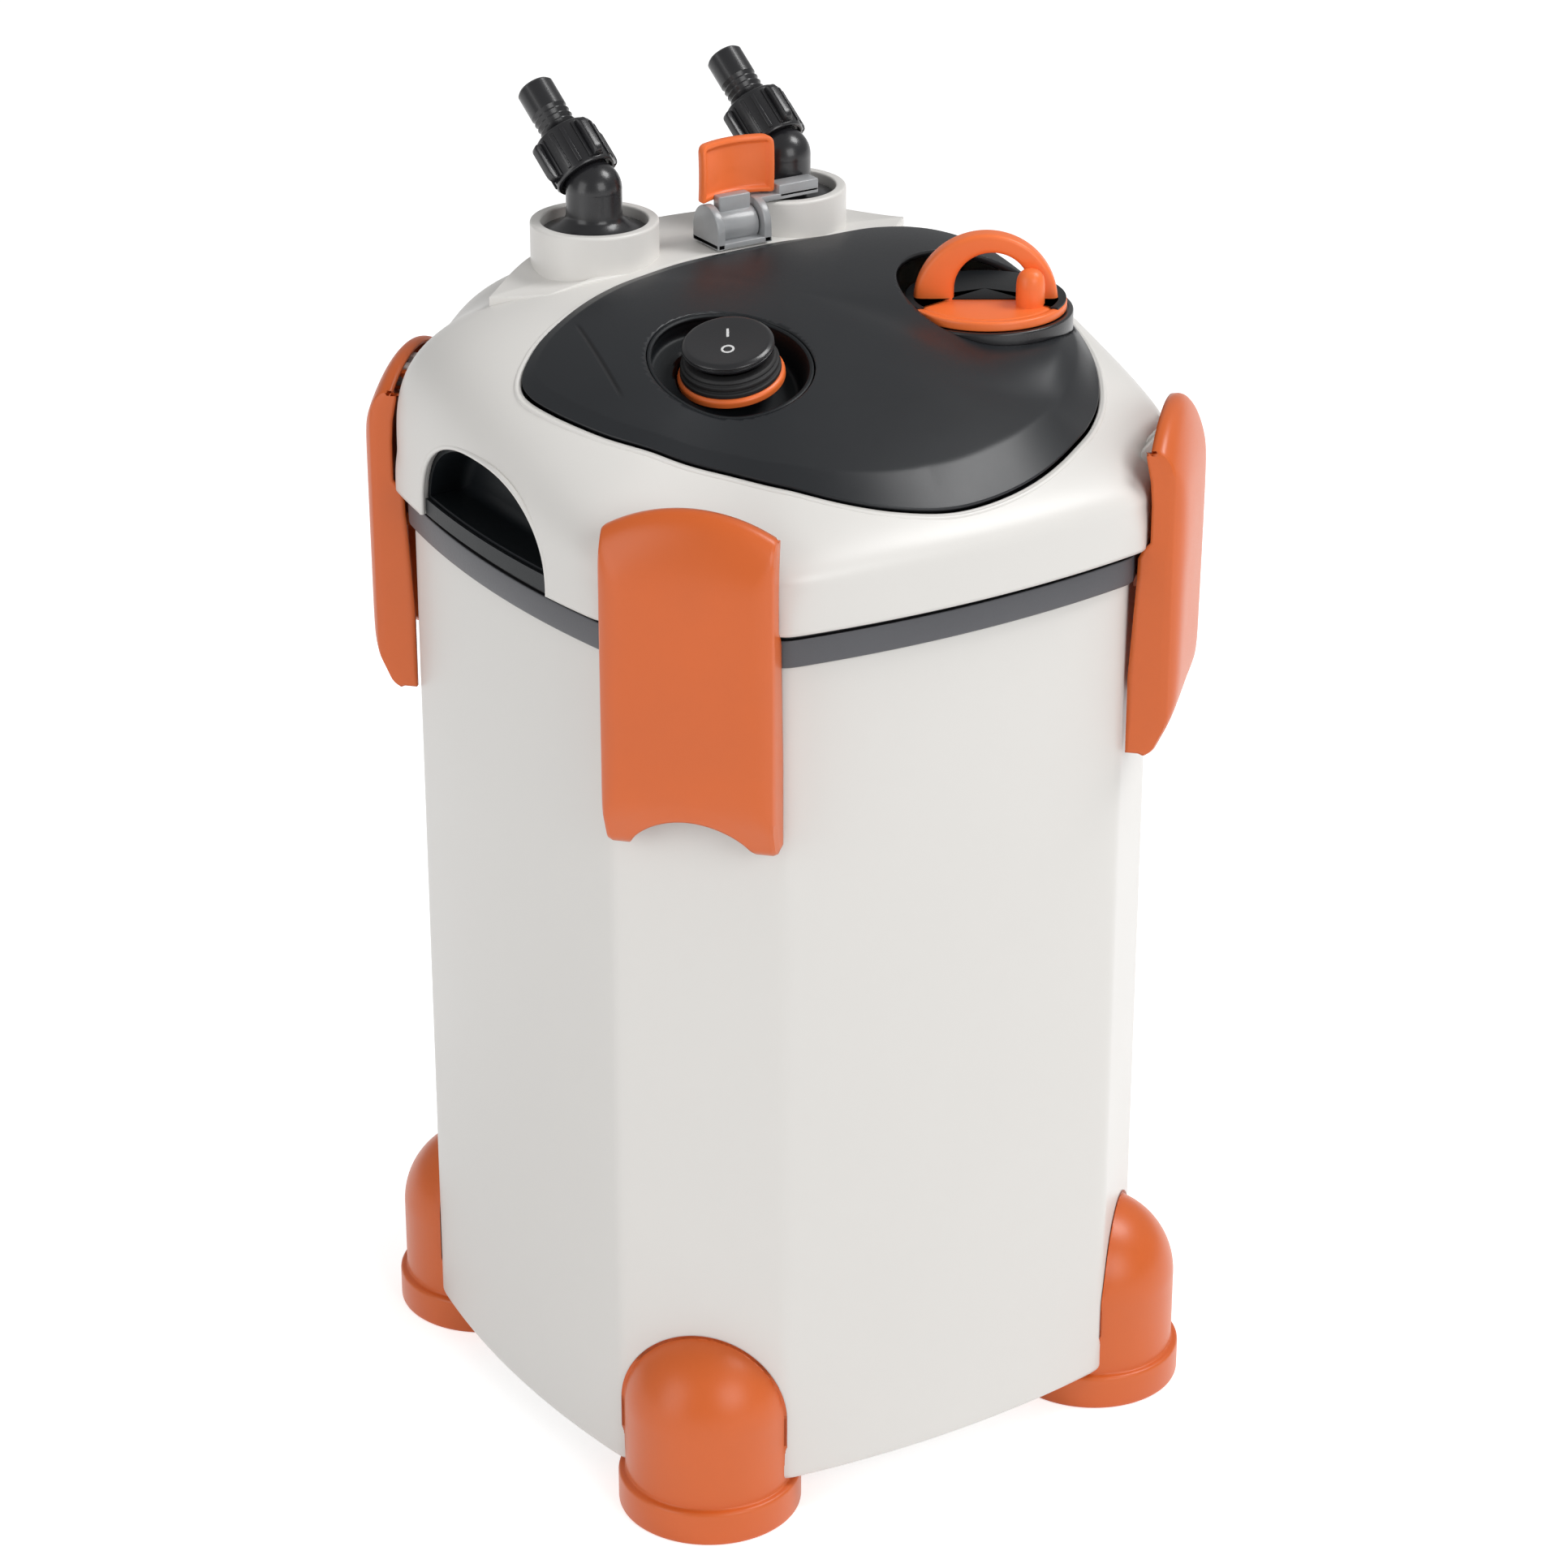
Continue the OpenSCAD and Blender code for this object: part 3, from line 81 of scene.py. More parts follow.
def softCorners(corners, reach, steps=5, loop=False):
    # every corner is replaced by a parabola from reach before it to reach after it:
    # p = c + (1-t)^2 * reach * towards previous + t^2 * reach * towards next
    c = np.asarray(corners, float)
    reach = np.broadcast_to(np.asarray(reach, float), (len(c),))[:, None]
    before, after = np.roll(c, 1, 0) - c, np.roll(c, -1, 0) - c
    lb, la = np.linalg.norm(before, axis=1)[:, None], np.linalg.norm(after, axis=1)[:, None]
    rb, ra = np.minimum(reach, lb*0.48), np.minimum(reach, la*0.48)
    t = np.linspace(0, 1, steps)[None, :, None]
    p = c[:, None] + (1 - t)**2*(rb*before/lb)[:, None] + t**2*(ra*after/la)[:, None]
    if loop:
        return p.reshape(-1, c.shape[1])
    return np.concatenate([c[:1], p[1:-1].reshape(-1, c.shape[1]), c[-1:]])

def between(a, b, count):  # count points from a to b, both ends kept
    t = np.linspace(0, 1, count)[:, None]
    return np.asarray(a, float)*(1 - t) + np.asarray(b, float)*t

def lathe(profile, segments=96):  # (radius, height) carried round z: x = r cos a, y = r sin a
    a = np.linspace(0, turn, segments, endpoint=False)
    r, z = profile[:, :1], profile[:, 1:2]
    return np.stack([r*np.cos(a), r*np.sin(a), z + 0*a], 2)

def outlineInset(outline, inset):  # closed outline moved inwards along its normals
    d = np.roll(outline, -1, 0) - np.roll(outline, 1, 0)
    n = np.stack([-d[:, 1], d[:, 0]], 1)/np.maximum(np.linalg.norm(d, axis=1), 1e-9)[:, None]
    area = (outline[:, 0]*np.roll(outline[:, 1], -1) - outline[:, 1]*np.roll(outline[:, 0], -1)).sum()
    return outline + n*inset*(1 if area > 0 else -1)

def ringStack(outline, steps):  # the outline carried through (inset, height) steps
    return np.stack([np.column_stack([outlineInset(outline, i), np.full(len(outline), h)]) for i, h in steps])

def roundedEdge(low, high, r, steps=4):  # (inset, height) steps of a plate with rounded edges
    a = np.linspace(0, math.pi/2, steps)
    up = np.stack([r*(1 - np.sin(a)), low + r*(1 - np.cos(a))], 1)
    down = np.stack([r*(1 - np.cos(a[1:])), high - r*(1 - np.sin(a[1:]))], 1)
    return np.concatenate([up, [[0, high - r]], down])

def tube(path, upward, radius, sides=14, loop=True):  # circle carried along a path, framed by upward
    along = np.roll(path, -1, 0) - np.roll(path, 1, 0) if loop else np.gradient(path, axis=0)
    along /= np.linalg.norm(along, axis=1)[:, None]
    n = upward - along*(upward*along).sum(1)[:, None]
    n /= np.linalg.norm(n, axis=1)[:, None]
    b = np.cross(along, n)
    a = np.linspace(0, turn, sides, endpoint=False)[None, :, None]
    return path[:, None] + radius*(np.cos(a)*n[:, None] + np.sin(a)*b[:, None])

def sheet(points, wrapRows=False, wrapCols=True, capFirst=False, capLast=False, flip=None):
    # grid of points (rows, cols, 3) to quads; a cap is a fan to the middle of its end ring
    m, n = points.shape[:2]
    i = np.arange(m if wrapRows else m - 1)[:, None]
    j = np.arange(n if wrapCols else n - 1)[None, :]
    i2, j2 = (i + 1) % m, (j + 1) % n
    quads = np.stack([i*n + j, i*n + j2, i2*n + j2, i2*n + j], 2).reshape(-1, 4)
    verts, tris, k = [points.reshape(-1, 3)], [], m*n
    ring = np.arange(n)
    for wanted, row, way in ((capFirst, 0, -1), (capLast, m - 1, 1)):
        if wanted:
            verts.append(points[row].mean(0)[None])
            fan = np.stack([row*n + ring, row*n + np.roll(ring, -1), np.full(n, k)], 1)
            tris.append(fan if way > 0 else fan[:, ::-1])
            k += 1
    verts = np.concatenate(verts)
    tris = np.concatenate(tris) if tris else np.zeros((0, 3), int)
    if flip is None:  # closed surface: the enclosed volume says which way the faces point
        picks = ((0, 0, 0), (1, 2, 1), (2, 3, 2))
        a, b, c = (verts[np.concatenate([quads[:, q], quads[:, r], tris[:, s]])] for q, r, s in picks)
        flip = (a*np.cross(b, c)).sum() < 0
    if flip:
        quads, tris = quads[:, ::-1], tris[:, ::-1]
    return verts, quads, tris

def openSheet(points, level, capLast=False):
    # sheet closed round its columns; its cells are cut where level crosses zero, and the part
    # below zero is left out
    verts, quads, tris = sheet(points, capLast=capLast, flip=False)
    flat = level.ravel()
    signs = flat[quads]
    whole = (signs >= 0).all(1)
    added, seen, fours, threes = [], {}, [], []
    for cell in quads[~whole & (signs > 0).any(1)].tolist():
        rim = []
        for i, j in zip(cell, cell[1:] + cell[:1]):
            a, b = flat[i], flat[j]
            if a >= 0:
                rim.append(i)
            if a*b < 0:
                key = (min(i, j), max(i, j))
                if key not in seen:
                    seen[key] = len(verts) + len(added)
                    added.append(verts[i] + (verts[j] - verts[i])*a/(a - b))
                rim.append(seen[key])
        if len(rim) == 4:
            fours.append(rim)
        elif len(rim) == 3:
            threes.append(rim)
        elif len(rim) == 5:
            threes.append(rim[:3])
            fours.append([rim[0]] + rim[2:])
    verts, quads = np.concatenate([verts, added]), np.concatenate([quads[whole], fours])
    return verts, quads, np.concatenate([tris, threes]).astype(int)

def plate(outline, low, high, r=0.8, steps=4):  # flat plate over an outline, its edges rounded
    return capped(ringStack(outline, roundedEdge(low, high, r, steps)))

def moved(part, at=(0, 0, 0), axes=None):
    return placed(part[0], at, axes), part[1], part[2]

def capped(points):  # sheet closed round its columns, with both end rings filled
    return sheet(points, capFirst=True, capLast=True)

def turnedRing(profile, segments=96, at=(0, 0, 0), axes=None):  # closed profile turned round z
    return moved(sheet(lathe(profile, segments), wrapRows=True), at, axes)

def turnedSolid(profile, segments=96, at=(0, 0, 0), axes=None):  # open profile turned round z, ends filled
    return moved(capped(lathe(profile, segments)), at, axes)

def softRect(x0, x1, y0, y1, reach, steps):  # rectangle with rounded corners
    return softCorners([(x0, y0), (x1, y0), (x1, y1), (x0, y1)], reach, steps, loop=True)

def piece(name, parts, body, finish, replaces=(), crease=38, wall=None):
    # joins the parts into one mesh in metres; sharp edges are marked above the crease angle
    verts, loops, starts, at, used = [], [], [], 0, 0
    for v, q, t in parts:
        verts.append(v)
        for f in (q, t):
            if len(f):
                loops.append((f + used).ravel())
                starts.append(at + np.arange(len(f))*f.shape[1])
                at += f.size
        used += len(v)
    mesh = bpy.data.meshes.new(name)
    verts = (np.concatenate(verts)*0.001).astype(np.float32)
    mesh.vertices.add(len(verts))
    mesh.vertices.foreach_set("co", verts.ravel())
    loops, starts = np.concatenate(loops), np.concatenate(starts)
    mesh.loops.add(len(loops))
    mesh.loops.foreach_set("vertex_index", loops.astype(np.int32))
    mesh.polygons.add(len(starts))
    mesh.polygons.foreach_set("loop_start", starts.astype(np.int32))
    mesh.polygons.foreach_set("use_smooth", np.ones(len(starts), bool))
    mesh.update(calc_edges=True)
    mesh.validate()
    mesh.set_sharp_from_angle(angle=math.radians(crease))
    mesh.materials.append(finish)
    made = bpy.data.objects.new(name, mesh)
    bpy.context.scene.collection.objects.link(made)
    if wall:  # wall thickness grown inwards from an open skin
        solid = made.modifiers.new("wall", "SOLIDIFY")
        solid.thickness, solid.offset, solid.use_rim = wall*0.001, -1, True
    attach(made, body)
    if replaces:
        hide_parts(*replaces)
    return made

# shader tools
class Wire:  # a socket that can be used in a Python expression
    def __init__(self, net, out):
        self.net, self.out = net, out
    def maths(self, kind, a, b=0.0):
        return self.net.node("ShaderNodeMath", {"operation": kind}, {0: a, 1: b})
    def __add__(self, o): return self.maths("ADD", self, o)
    def __radd__(self, o): return self.maths("ADD", o, self)
    def __sub__(self, o): return self.maths("SUBTRACT", self, o)
    def __rsub__(self, o): return self.maths("SUBTRACT", o, self)
    def __mul__(self, o): return self.maths("MULTIPLY", self, o)
    def over(self, low, high):  # 0 below low, 1 above high, smooth between
        return self.net.node("ShaderNodeMapRange", {"interpolation_type": "SMOOTHSTEP"},
                             {"Value": self, "From Min": low, "From Max": high})

class Net:  # one material and its nodes
    def __init__(self, name):
        self.material = bpy.data.materials.new(name)
        self.material.use_nodes = True
        self.tree = self.material.node_tree
        self.shader = self.tree.nodes["Principled BSDF"]
        self.place = self.node("ShaderNodeTexCoord", {}, {}, "Object")
    def node(self, kind, settings, inputs, output=0):
        made = self.tree.nodes.new(kind)
        for key, value in settings.items():
            if key == "stops":
                for stop, (at, colour) in zip(made.color_ramp.elements, value):
                    stop.position, stop.color = at, colour
            else:
                setattr(made, key, value)
        for key, value in inputs.items():
            self.feed(made.inputs[key], value)
        return Wire(self, made.outputs[output])
    def feed(self, socket, value):
        if isinstance(value, Wire):
            self.tree.links.new(value.out, socket)
        elif isinstance(value, (tuple, list)) and len(value) == 3 and socket.type == "RGBA":
            socket.default_value = (*value, 1)
        else:
            socket.default_value = value
    def noise(self, scale, detail=3.0, rough=0.5, stretch=(1, 1, 1)):
        place = self.place
        if stretch != (1, 1, 1):
            place = self.node("ShaderNodeMapping", {}, {"Vector": self.place, "Scale": stretch})
        return self.node("ShaderNodeTexNoise", {}, {"Vector": place, "Scale": scale, "Detail": detail,
            "Roughness": rough})
    def cells(self, scale, feature="F1"):
        return self.node("ShaderNodeTexVoronoi", {"feature": feature}, {"Vector": self.place, "Scale": scale})
    def axis(self, which):
        parts = self.node("ShaderNodeSeparateXYZ", {}, {"Vector": self.place})
        return Wire(self, parts.out.node.outputs["XYZ".index(which)])
    def mix(self, share, a, b):
        made = self.tree.nodes.new("ShaderNodeMix")
        made.data_type = "RGBA"
        for at, value in ((0, share), (6, a), (7, b)):
            self.feed(made.inputs[at], value)
        return Wire(self, made.outputs[2])
    def bump(self, height, strength, reach):
        return self.node("ShaderNodeBump", {}, {"Height": height, "Strength": strength, "Distance": reach})
    def shine(self, **sockets):  # sockets of the shader itself, spaces written as underscores
        for key, value in sockets.items():
            self.feed(self.shader.inputs[key.replace("_", " ")], value)
        return self.material

def shade(colour, k):
    return tuple(min(1.0, c*k) for c in colour)

def mouldedPlastic(name, colour, rough=0.4, grain=0.12, grainSize=1400, cloud=0.05, coat=0.0, scuff=0.0,
    gloss=0.5):
    # cloudy colour, fine spark-eroded grain, uneven sheen and a few faint rub marks
    net = Net(name)
    clouds, fine = net.noise(28, 4, 0.6), net.noise(grainSize, 2, 0.6)
    tone = net.mix(clouds, shade(colour, 1 - cloud), shade(colour, 1 + cloud))
    rubs = net.noise(90, 5, 0.7, (1, 1, 0.12)).over(0.62, 0.78)
    if scuff:
        tone = net.mix(rubs*scuff, tone, shade(colour, 1.5 if max(colour) < 0.3 else 0.9))
    sheen = rough + (clouds - 0.5)*0.10 + (fine - 0.5)*0.08 + rubs*0.05
    return net.shine(Base_Color=tone, Roughness=sheen, Normal=net.bump(fine, grain, 0.0002),
                     Coat_Weight=coat, Coat_Roughness=0.12, Specular_IOR_Level=gloss)

# materials
whitePlastic = mouldedPlastic("whitePlastic", (0.775, 0.757, 0.727), rough=0.36, grain=0.05, cloud=0.012,
    scuff=0.05)
clipOrange = mouldedPlastic("clipOrange", (0.68, 0.128, 0.020), rough=0.36, grain=0.10, cloud=0.06,
    scuff=0.10)
brightOrange = mouldedPlastic("brightOrange", (0.95, 0.19, 0.04), rough=0.38, grain=0.06, cloud=0.04)
blackPlastic = mouldedPlastic("blackPlastic", (0.014, 0.014, 0.016), rough=0.30, grain=0.08, cloud=0.12,
    coat=0.15)
# black plastic made darker and duller than blackPlastic: painted shade inside the grip pockets and the switch
# bowl, and on the cap's shade plate
pitShadeBlack = mouldedPlastic("pitShadeBlack", (0.006, 0.008, 0.010), rough=0.48, grain=0.12, cloud=0.1, gloss=0.3)
softRubber = mouldedPlastic("softRubber", (0.016, 0.016, 0.017), rough=0.62, grain=0.3, grainSize=900,
    cloud=0.15)
innerPlastic = mouldedPlastic("innerPlastic", (0.035, 0.037, 0.042), rough=0.5, grain=0.25, cloud=0.1)
greyPlastic = mouldedPlastic("greyPlastic", (0.50, 0.505, 0.51), rough=0.38, grain=0.08, cloud=0.04)
markWhite = mouldedPlastic("markWhite", (0.72, 0.72, 0.72), rough=0.5, grain=0.05)

def clearGrey():  # smoky clear plastic of the lever's cheeks
    net = Net("clearGrey")
    streaks = net.noise(60, 4, 0.6, (1, 1, 0.3))
    tone = net.mix(streaks, (0.26, 0.27, 0.28), (0.44, 0.45, 0.46))
    return net.shine(Base_Color=tone, Roughness=0.26 + streaks*0.1, Normal=net.bump(streaks, 0.1, 0.0004),
                     Coat_Weight=0.2, Coat_Roughness=0.1, Specular_IOR_Level=0.5)

def steelFinish(name, colour, rough):  # turned metal with fine rings of tool marks
    net = Net(name)
    marks = net.noise(500, 3, 0.7, (0.05, 1, 1))
    tone = net.mix(marks, shade(colour, 0.85), shade(colour, 1.1))
    return net.shine(Base_Color=tone, Metallic=1.0, Roughness=rough + marks*0.15,
        Normal=net.bump(marks, 0.08, 0.0001))

def foamFinish(name, colour, pore):  # open cells: pale struts, with painted shade darkening the pits between them
    net = Net(name)
    pits = net.cells(pore, "DISTANCE_TO_EDGE").over(0.02, 0.32)
    cloud = net.noise(40, 3)
    # painted shade: the pits are darker than the struts
    tone = net.mix(pits, shade(colour, 1.5), net.mix(cloud, shade(colour, 0.25), shade(colour, 0.45)))
    return net.shine(Base_Color=tone, Roughness=0.9 - pits*0.05, Normal=net.bump(1.0 - pits, 0.9, 0.0012),
        Specular_IOR_Level=0.2)

def woolFinish():  # matted white fibres
    net = Net("filterWool")
    fibres = net.noise(420, 6, 0.75, (1, 0.15, 1)) + net.noise(380, 6, 0.75, (0.15, 1, 1))
    tone = net.mix(fibres.over(0.7, 1.3), (0.62, 0.61, 0.58), (0.86, 0.85, 0.83))
    return net.shine(Base_Color=tone, Roughness=0.93, Normal=net.bump(fibres, 0.7, 0.001),
        Specular_IOR_Level=0.15)

def ceramicFinish():  # porous fired clay, its pores darkened as painted shade
    net = Net("firedClay")
    pores = net.cells(900).over(0.0, 0.5)
    cloud = net.noise(50, 4, 0.6)
    tone = net.mix(cloud, (0.50, 0.40, 0.30), (0.66, 0.57, 0.46))
    # painted shade: darker colour in the pores
    tone = net.mix(1.0 - pores, tone, (0.30, 0.22, 0.16))
    return net.shine(Base_Color=tone, Roughness=0.88 + (pores - 0.5)*0.08,
        Normal=net.bump(pores, 0.6, 0.0005))

cheekPlastic = clearGrey()
brightSteel = steelFinish("brightSteel", (0.60, 0.60, 0.61), 0.22)
ferrite = steelFinish("ferrite", (0.09, 0.09, 0.10), 0.45)
ceramicShaft = mouldedPlastic("ceramicShaft", (0.78, 0.76, 0.70), rough=0.2, grain=0.02)
resinBlock = mouldedPlastic("resinBlock", (0.03, 0.035, 0.055), rough=0.28, grain=0.1, cloud=0.2)
foamBlue = foamFinish("foamBlue", (0.05, 0.12, 0.26), 420)
filterWool = woolFinish()
firedClay = ceramicFinish()
print("materials made")

# plan outline: four bulged faces and four chamfers, blended by a power mean;
# a higher ease gives crisper corners
body = {"faceMid": 116.0, "arc": 388.333, "chamfer": 125.865, "cornerEase": 170.0, "rim": 340.0,
    "skirt": 340.3, "shoulder": 356.0, "columns": 720}

def outlineRadius(angle, off, ease):  # (sum of side distances^-ease)^(-1/ease)
    angle, off, ease = np.broadcast_arrays(np.asarray(angle, float), off, ease)
    total = np.zeros(angle.shape)
    centre, limit = body["faceMid"] - body["arc"], math.radians(65)
    for k in range(4):
        b = (angle - k*turn/4 + math.pi) % turn - math.pi
        face = centre*np.cos(b) + np.sqrt(np.maximum((body["arc"] + off)**2 - (centre*np.sin(b))**2, 1))
        total += np.where(abs(b) < limit, (np.maximum(face, 1)/100)**-ease, 0)
        b = (b - turn/8 + math.pi) % turn - math.pi
        total += np.where(abs(b) < limit, ((body["chamfer"] + off)/np.maximum(np.cos(b), 0.3)/100)**-ease, 0)
    return 100*total**(-1/ease)

def sweepPlan(profile, ease, columns):  # (offset, height) carried round the plan outline
    a = np.linspace(0, turn, columns, endpoint=False)[None]
    r = outlineRadius(a, profile[:, :1], ease)
    return np.stack([r*np.cos(a), r*np.sin(a), profile[:, 1:2] + 0*a], 2)

canProfile = np.concatenate([
    softCorners([(-30, 15), (0, 15), (0, 120)], [0, 3.2, 0], 7),
    softCorners([(0, 225), (0, 336), (-3.5, 336), (-3.5, 19), (-30, 19)], [0, 0.9, 0.9, 3, 0], 5)])
piece("bodyShell", [capped(sweepPlan(canProfile, body["cornerEase"], body["columns"]))],
      "canister", whitePlastic, ["canister_shell"])

band = {"proud": 2.0, "grooveTop": 337.2, "grooveDepth": 1.3}
bandProfile = softCorners([(0.25, 327.5), (band["proud"], 327.5), (band["proud"] + 0.15, 333),
    (band["proud"], band["grooveTop"]), (band["proud"] - band["grooveDepth"], band["grooveTop"] + 0.3),
    (band["proud"] - band["grooveDepth"], 340), (0.25, 340), (0.25, 338.5), (-5, 338.5), (-5, 336.02),
    (0.25, 336.02)], [0.2, 0.7, 1.5, 0.5, 0.2, 0.3, 0.2, 0.1, 0.4, 0.4, 0.1], 4, loop=True)

def bandFinish():  # the groove under the head is painted black as shade under the skirt, the band below it charcoal
    net = Net("bandWithGrooveShade")
    clouds, fine = net.noise(30, 4, 0.6), net.noise(1100, 2)
    tone = net.mix(clouds, (0.070, 0.071, 0.080), (0.088, 0.090, 0.100))
    # painted shade: near black above the groove's top, where the head's skirt overhangs the band
    tone = net.mix(net.axis("Z").over(0.33705, 0.33725), tone, (0.006, 0.006, 0.007))
    return net.shine(Base_Color=tone, Roughness=0.42 + (fine - 0.5)*0.1, Normal=net.bump(fine, 0.18, 0.0002))

piece("rimBand", [sheet(sweepPlan(bandProfile, body["cornerEase"], body["columns"]), wrapRows=True)],
      "canister", bandFinish(), ["rim_band"])
print("canister and band made")

# feet: a dome on a round sole; whatever would lie inside the canister is pushed out to its wall
foot = {"distance": 117.465, "r": 30.0, "domeAt": 41.0, "soleRim": 2.5, "soleHigh": 13.0, "wallGap": 0.3}

def footPart(k):
    dome = np.linspace(0, math.pi/2*0.985, 40)[:, None]
    profile = np.concatenate([
        softCorners([(2, 0), (foot["r"] + foot["soleRim"], 0),
        (foot["r"] + foot["soleRim"], foot["soleHigh"]),
                     (foot["r"], foot["soleHigh"] + 0.5), (foot["r"], 30)], [0, 1.6, 1.3, 0.7, 0], 6),
        np.concatenate([foot["r"]*np.cos(dome), foot["domeAt"] + foot["r"]*np.sin(dome)], 1)])
    p = lathe(profile, 180)
    a = math.radians(45 + 90*k)
    out = np.array([math.cos(a), math.sin(a)])
    xy = p[..., :2] + out*foot["distance"]
    r, angle = np.hypot(xy[..., 0], xy[..., 1]), np.arctan2(xy[..., 1], xy[..., 0])
    side = np.array([-out[1], out[0]])
    across = xy @ side
    # distance along the diagonal at which the canister wall is met, by six damped steps
    along = np.full(across.shape, body["chamfer"])
    for _ in range(6):
        where = np.arctan2(along*out[1] + across*side[1], along*out[0] + across*side[0])
        wall = outlineRadius(where, foot["wallGap"], body["cornerEase"])
        along = along*0.3 + 0.7*np.sqrt(np.maximum(wall**2 - across**2, 1))
    d = xy @ out
    above = smoothStep((p[..., 2] - 14.2)/0.4)
    d = np.where(d < along, d + (along - d)*above, d)
    p[..., :2] = d[..., None]*out + across[..., None]*side
    return capped(p)

corners = ("back_right", "back_left", "front_left", "front_right")
for k, where in enumerate(corners):
    piece("foot_" + where + "_cap", [footPart(k)], "canister", clipOrange, ["foot_" + where])
print("feet made")

# head: crown line, edge curve and dome height over the plan
head = {"crownTop": 417.0, "slope": 0.31, "crownY": 14.0, "crownSoft": 18.0, "backY": 66.0, "backSoft": 7.0,
    "backSlope": 0.1, "power": 2.8, "backPower": 3.5, "cornerRound": 0.75, "proud": 6.0, "wall": 3.0,
    "columns": 600, "ease": 60.0}
cover = {"corners": [(-104, -2), (-102, -19), (-93, -40), (-80, -56), (-66, -70), (-54, -85), (-40, -98),
    (-24, -107), (-5, -112), (16, -111), (36, -105.5), (55, -95.5), (72, -82), (87, -66), (97, -46),
    (102, -24), (102, -2), (97, 18), (84, 32), (64, 38), (40, 38), (15, 36.5), (-10, 35.5), (-34, 33.5),
    (-56, 27), (-77, 18), (-94, 9)], "gap": 0.6, "lift": 6.0, "edge": 1.0, "centre": (8.0, -20.0),
    "wall": 2.4, "columns": 560}
grip = {"wide": 88.0, "high": 35.0, "base": 1.5, "bend": 0.85}

def domeHeight(x, y):  # shoulder + (crown - shoulder) * (1 - u^p)^(1/p)
    a = np.arctan2(y, x)
    u = np.clip(np.hypot(x, y)/outlineRadius(a, head["proud"], head["ease"]), 0, 1)
    fore = np.log1p(np.exp((head["crownY"] - y)/head["crownSoft"]))
    aft = np.log1p(np.exp((y - head["backY"])/head["backSoft"]))
    crown = head["crownTop"] - head["slope"]*head["crownSoft"]*fore - head["backSlope"]*head["backSoft"]*aft
    p = (head["power"] + (head["backPower"] - head["power"])*smoothStep((y + 40)/80)
        - head["cornerRound"]*np.sin(2*a)**4)
    return body["shoulder"] + (crown - body["shoulder"])*np.maximum(1 - u**p, 0)**(1/p)

def closedSpline(corners, each):  # Catmull-Rom through the corners, all steps at once
    p = np.asarray(corners, float)
    t = (np.arange(each)/each)[None, :, None]
    a, b, c, d = (np.roll(p, s, 0)[:, None] for s in (1, 0, -1, -2))
    return (0.5*(2*b + (c - a)*t + (2*a - 5*b + 4*c - d)*t*t + (3*b - a - 3*c + d)*t**3)).reshape(-1, 2)

coverOutline = closedSpline(cover["corners"], 24)

def reachFrom(points, angle, centre):  # distance from centre to a closed outline, by direction
    p = points - np.asarray(centre)
    a = np.arctan2(p[:, 1], p[:, 0])
    order = np.argsort(a)
    return np.interp(angle, a[order], np.hypot(p[:, 0], p[:, 1])[order], period=turn)

def outlineReach(angle, centre, inset=0.0):  # the same to the cover's outline
    return reachFrom(outlineInset(coverOutline, inset), angle, centre)

# head skin: rows climb the skirt, then close in over the dome to the cover's outline
angle = np.linspace(0, turn, head["columns"], endpoint=False)[None]
skirtRows = np.concatenate([[body["skirt"], 341.5], np.linspace(342.6, 355.0, 12)])[:, None]
ease = body["cornerEase"] + (head["ease"] - body["cornerEase"])*smoothStep((skirtRows - 343)/12)
r = outlineRadius(angle, head["proud"], ease)
skirtPart = np.stack([r*np.cos(angle), r*np.sin(angle), skirtRows + 0*r], 2)
w = np.linspace(0.0, 1.0, 52)[1:, None]
outer, hole = outlineRadius(angle, head["proud"], head["ease"]), outlineReach(angle[0], (0, 0))[None]
r = outer - (outer - hole)*w**2.6
x, y = r*np.cos(angle), r*np.sin(angle)
skin = np.concatenate([skirtPart, np.stack([x, y, domeHeight(x, y)], 2)])

# the grip mouths: points close to the mouth's outline are drawn onto it, then the cells are cut along it
gripFloor = body["rim"] + grip["base"]
flat, up = skin[..., 1]/(grip["wide"]/2), (skin[..., 2] - gripFloor)/(grip["high"] - grip["base"])
power = 2/grip["bend"]
level = np.maximum((np.abs(flat)**power + np.maximum(up, 0)**power)**(1/power), 0.05)
fromFloor = np.hypot(skin[..., 1], np.maximum(skin[..., 2] - gripFloor, 0))
gap = np.where(np.abs(skin[..., 0]) > 90, (level - 1)*fromFloor, 9.0)
near = np.abs(gap) < 0.3
skin[..., 1] = np.where(near, skin[..., 1]/level, skin[..., 1])
skin[..., 2] = np.where(near & (up > 0), gripFloor + (skin[..., 2] - gripFloor)/level, skin[..., 2])
gap = np.where(near, 0.0, gap)
piece("headSkin", [openSheet(skin, gap)], "head", whitePlastic, ["head_shell"],
    wall=head["wall"])
print("head skin made")

# white trim on the head: rolled lips, collars, deck and the clips' ears
def skinX(y, z):  # where the head's side skin lies for a given y and height
    x = np.full(np.shape(y), 120.0)
    for _ in range(5):
        a = np.arctan2(y, x)
        reach = outlineRadius(a, head["proud"], 100.0)
        k = np.clip((z - body["shoulder"])/60.0, 0, 1)
        reach = reach*(1 - k**3.2)**(1/3.2)
        x = np.sqrt(np.maximum(reach**2 - y**2, 1))
    return x

def gripOutline(inset, base, count=90):  # half a soft ellipse standing on a flat base
    a = np.linspace(0, math.pi, count)
    return np.stack([(grip["wide"]/2 - inset)*np.sign(np.cos(a))*np.abs(np.cos(a))**grip["bend"],
                     body["rim"] + base + (grip["high"] - base - inset)*np.sin(a)**grip["bend"]], 1)

